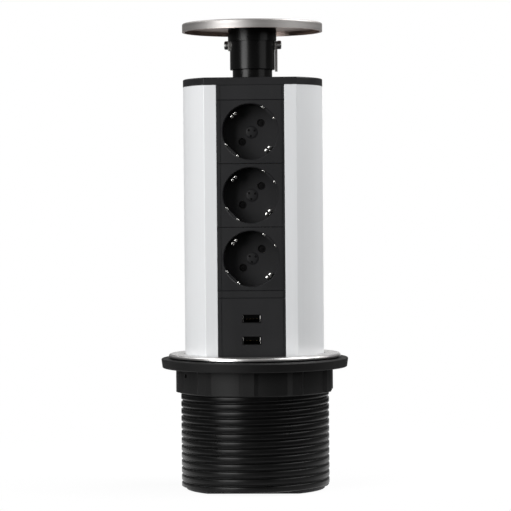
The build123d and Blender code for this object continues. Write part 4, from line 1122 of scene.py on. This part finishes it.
@dataclass
class UsbModule:
    """Double charging module: its nodes, the contacts in its ports and its shells' lips."""

    port_pitch: float = 15.5 * MM
    lower_port: float = -7.7 * MM
    tongue_base: float = 0.15 * MM
    pad_size: Size = (1.0 * MM, 6.0 * MM, 0.3 * MM)
    pad_edge: float = 0.1 * MM
    pad_setback: float = 0.4 * MM
    pad_places: tuple[float, ...] = (-3.5 * MM, -1.0 * MM, 1.0 * MM, 3.5 * MM)
    lip_size: Size = (0.38 * MM, 1.4 * MM, 4.6 * MM)
    lip_edge: float = 0.1 * MM
    lip_across: float = 6.15 * MM
    lip_depth: float = 1.15 * MM
    lip_splay: float = 14.0
    finishes: dict[str, Finish] = field(default_factory=lambda: {
        "usb_front": MODULE_PLASTIC, "usb_shells": SHADED_SHELL_STEEL, "usb_tongues": TONGUE_PLASTIC,
        "usb_board": BOARD, "usb_transformer": INNER_PLASTIC, "usb_capacitors": INNER_PLASTIC,
        "usb_back": INNER_PLASTIC})

    def port_heights(self) -> list[float]:
        """Heights of the two ports' middles."""
        low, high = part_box("usb_front")
        return [(low.z + high.z) / 2 + self.lower_port + port * self.port_pitch for port in range(2)]

    def contacts(self) -> Piece:
        """Four contact springs under each tongue.

        Returns:
            The piece.
        """
        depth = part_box("usb_tongues")[0].y + self.pad_size[1] / 2 + self.pad_setback
        drop = self.tongue_base - self.pad_size[2] / 2
        model = rounded_block("contact_pad", self.pad_size, self.pad_edge)
        return joined("port_contacts", copies(model, [Matrix.Translation((x, depth, height + drop))
                                                      for height in self.port_heights()
                                                      for x in self.pad_places]))

    def port_lips(self) -> Piece:
        """Splayed lips at the two ends of each port shell's mouth.

        Returns:
            The piece.
        """
        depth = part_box("usb_front")[0].y + self.lip_depth
        model = rounded_block("lip", self.lip_size, self.lip_edge)
        places = []
        for height in self.port_heights():
            for side in (-1, 1):
                splay = Matrix.Rotation(radians(-side * self.lip_splay), 4, "Z")
                places.append(Matrix.Translation((side * self.lip_across, depth, height)) @ splay)
        return joined("port_lips", copies(model, places))

    def build(self) -> None:
        """Build the port contacts and lips and dress the module's nodes."""
        dress(self.finishes)
        contacts, lips = self.contacts(), self.port_lips()
        smooth(contacts)
        mount(contacts, "tower", CONTACT_METAL)
        smooth(lips)
        mount(lips, "tower", LIP_STEEL)


@dataclass
class Lid:
    """Steel lid on its neck, with the bracket, screws and earth strip."""

    finishes: dict[str, Finish] = field(default_factory=lambda: {
        "lid_plate": LID_STEEL, "lid_neck": NECK_PLASTIC, "lid_bracket": STRIP_STEEL,
        "lid_screws": PLATED_STEEL, "earth_strip": STRIP_STEEL})

    def build(self) -> None:
        """Dress the lid."""
        dress(self.finishes)


# Studio


@dataclass(frozen=True)
class SoftBox:
    """Soft box that faces the object, with its direction in degrees, 0 in front and positive to the right."""

    name: str
    azimuth: float
    distance: float
    height: float
    width: float
    tall: float
    power: float

    def light(self, aim_height: float) -> None:
        """Set up the lamp.

        Args:
            aim_height: Height of the point on the axis that it faces.
        """
        data = bpy.data.lights.new(self.name, "AREA")
        data.shape = "RECTANGLE"
        data.size, data.size_y = self.width, self.tall
        data.energy = self.power
        lamp = bpy.data.objects.new(self.name, data)
        bpy.context.scene.collection.objects.link(lamp)
        turn = radians(self.azimuth)
        lamp.location = (self.distance * sin(turn), -self.distance * cos(turn), self.height)
        aim = Vector((0, 0, aim_height)) - lamp.location
        lamp.rotation_euler = aim.to_track_quat("-Z", "Y").to_euler()


@dataclass
class Studio:
    """Floor, white background, lamps and camera."""

    image_size: int = 511
    sensor_width: float = 36.0
    focal_pixels: float = 2396.0
    view_end: float = 20.0
    camera_distance: float = 1.7323
    camera_height: float = 0.2084
    camera_azimuth: float = 2.9
    camera_pitch: float = 1.33
    camera_roll: float = -0.47
    image_shift: float = 1.55
    floor_radius: float = 0.32
    floor_sides: int = 64
    floor_centre: float = 0.2
    floor_drop: float = 0.2 * MM
    paper_dark: Colour = (0.86, 0.86, 0.86)
    paper_light: Colour = (0.90, 0.90, 0.90)
    paper_grain: float = 240.0
    paper_roughness: float = 0.9
    paper_glow: float = 0.92
    fade_start_share: float = 0.6
    fade_end_share: float = 0.98
    surround: float = 0.03
    sky_glow: float = 0.24
    sky_foot: float = -0.05
    sky_top: float = 0.12
    behind_start: float = 0.955
    behind_end: float = 0.99
    aim_height: float = 0.17
    lamps: tuple[SoftBox, ...] = (
        SoftBox("left_box", -39, 1.25, 0.5, 0.7, 1.05, 15.7),
        SoftBox("left_high_box", -100, 0.8, 1.1, 0.8, 0.8, 5.0),
        SoftBox("right_box", 58, 1.3, 0.66, 0.9, 0.7, 2.8),
        SoftBox("right_high_box", 100, 0.8, 1.1, 0.8, 0.8, 16.2))

    def floor(self) -> None:
        """Round white floor, just under the object's base, that reaches out behind it."""
        deselect()
        bpy.ops.mesh.primitive_circle_add(vertices=self.floor_sides, radius=self.floor_radius,
                                          fill_type="TRIFAN", location=(0, 0, 0))
        floor = name_piece(bpy.context.active_object, "floor")
        shift_mesh(floor, (0, self.floor_centre, -self.floor_drop))
        floor.data.materials.append(self.floor_material())

    def floor_material(self) -> bpy.types.Material:
        """Matt white paper with a faint shadow, clear from below, that fades into white at its rim.

        Returns:
            The material.
        """
        shading = Shading("floor_paper")
        grain = shading.noise(shading.place, self.paper_grain)
        shading.shade(Base_Color=shading.blended(grain, self.paper_dark, self.paper_light),
                      Roughness=self.paper_roughness)
        away = shading.vector("DISTANCE", shading.place, (0, self.floor_centre, 0)).outputs["Value"]
        rim = shading.ranged(away, self.paper_glow, 1.0, self.fade_start_share * self.floor_radius,
                             self.fade_end_share * self.floor_radius)
        path = shading.add("ShaderNodeLightPath").outputs
        mirrored = shading.math("MAXIMUM", path["Is Glossy Ray"], path["Is Transmission Ray"])
        seen = shading.math("MAXIMUM", path["Is Camera Ray"], mirrored)
        paper = shading.mixed_shader(shading.math("MULTIPLY", seen, rim), shading.shader.outputs[0],
                                     shading.add("ShaderNodeEmission").outputs[0])
        surface = shading.mixed_shader(shading.add("ShaderNodeNewGeometry").outputs["Backfacing"], paper,
                                       shading.add("ShaderNodeBsdfTransparent").outputs[0])
        output = next(node for node in shading.nodes if node.type == "OUTPUT_MATERIAL")
        shading.join(surface, output, "Surface")
        return shading.material

    def world(self) -> None:
        """White background, which gloss sees behind the object, in a dim room that is paler above."""
        world = bpy.data.worlds.new("studio_world")
        bpy.context.scene.world = world
        world.use_nodes = True
        graph = Graph(world.node_tree)
        direction = graph.add("ShaderNodeTexCoord").outputs["Generated"]
        upward = graph.add("ShaderNodeSeparateXYZ", direction).outputs["Z"]
        room = graph.ranged(upward, self.surround, self.sky_glow, self.sky_foot, self.sky_top)
        backward = graph.vector("DOT_PRODUCT", direction, (0, 1, 0)).outputs["Value"]
        level = graph.ranged(backward, room, 1.0, self.behind_start, self.behind_end)
        camera = graph.add("ShaderNodeLightPath").outputs["Is Camera Ray"]
        background = graph.nodes["Background"]
        graph.join((1, 1, 1, 1), background, "Color")
        graph.join(graph.math("MAXIMUM", camera, level), background, "Strength")

    def camera(self) -> None:
        """Camera at the photograph's angle."""
        data = bpy.data.cameras.new("camera")
        data.sensor_width = self.sensor_width
        data.sensor_fit = "HORIZONTAL"
        data.lens = self.focal_pixels / self.image_size * data.sensor_width
        data.shift_x = self.image_shift / self.image_size
        data.clip_end = self.view_end
        camera = bpy.data.objects.new("camera", data)
        bpy.context.scene.collection.objects.link(camera)
        turn, pitch = radians(self.camera_azimuth), radians(self.camera_pitch)
        camera.location = (self.camera_distance * sin(turn), -self.camera_distance * cos(turn),
                           self.camera_height)
        aim = Vector((-sin(turn) * cos(pitch), cos(turn) * cos(pitch), -sin(pitch)))
        facing = aim.to_track_quat("-Z", "Y").to_matrix().to_4x4()
        roll = Matrix.Rotation(radians(self.camera_roll), 4, "Z")
        camera.rotation_euler = (facing @ roll).to_euler()
        bpy.context.scene.camera = camera

    def build(self) -> None:
        """Set up the studio."""
        self.floor()
        self.world()
        for lamp in self.lamps:
            lamp.light(self.aim_height)
        self.camera()
        bpy.context.scene.view_settings.view_transform = "Standard"


def main() -> None:
    """Build the model, sub-assembly by sub-assembly, then the studio."""
    logging.basicConfig(level=logging.INFO, format="%(name)s %(message)s")
    sockets = tuple(SocketModule(name) for name in ("upper", "middle", "lower"))
    for assembly in (Collar(), Clamp(), Tower(), PopSpring(), *sockets, CentreScrews(sockets), UsbModule(),
                     Lid(), Studio()):
        assembly.build()


if __name__ == "__main__":
    main()
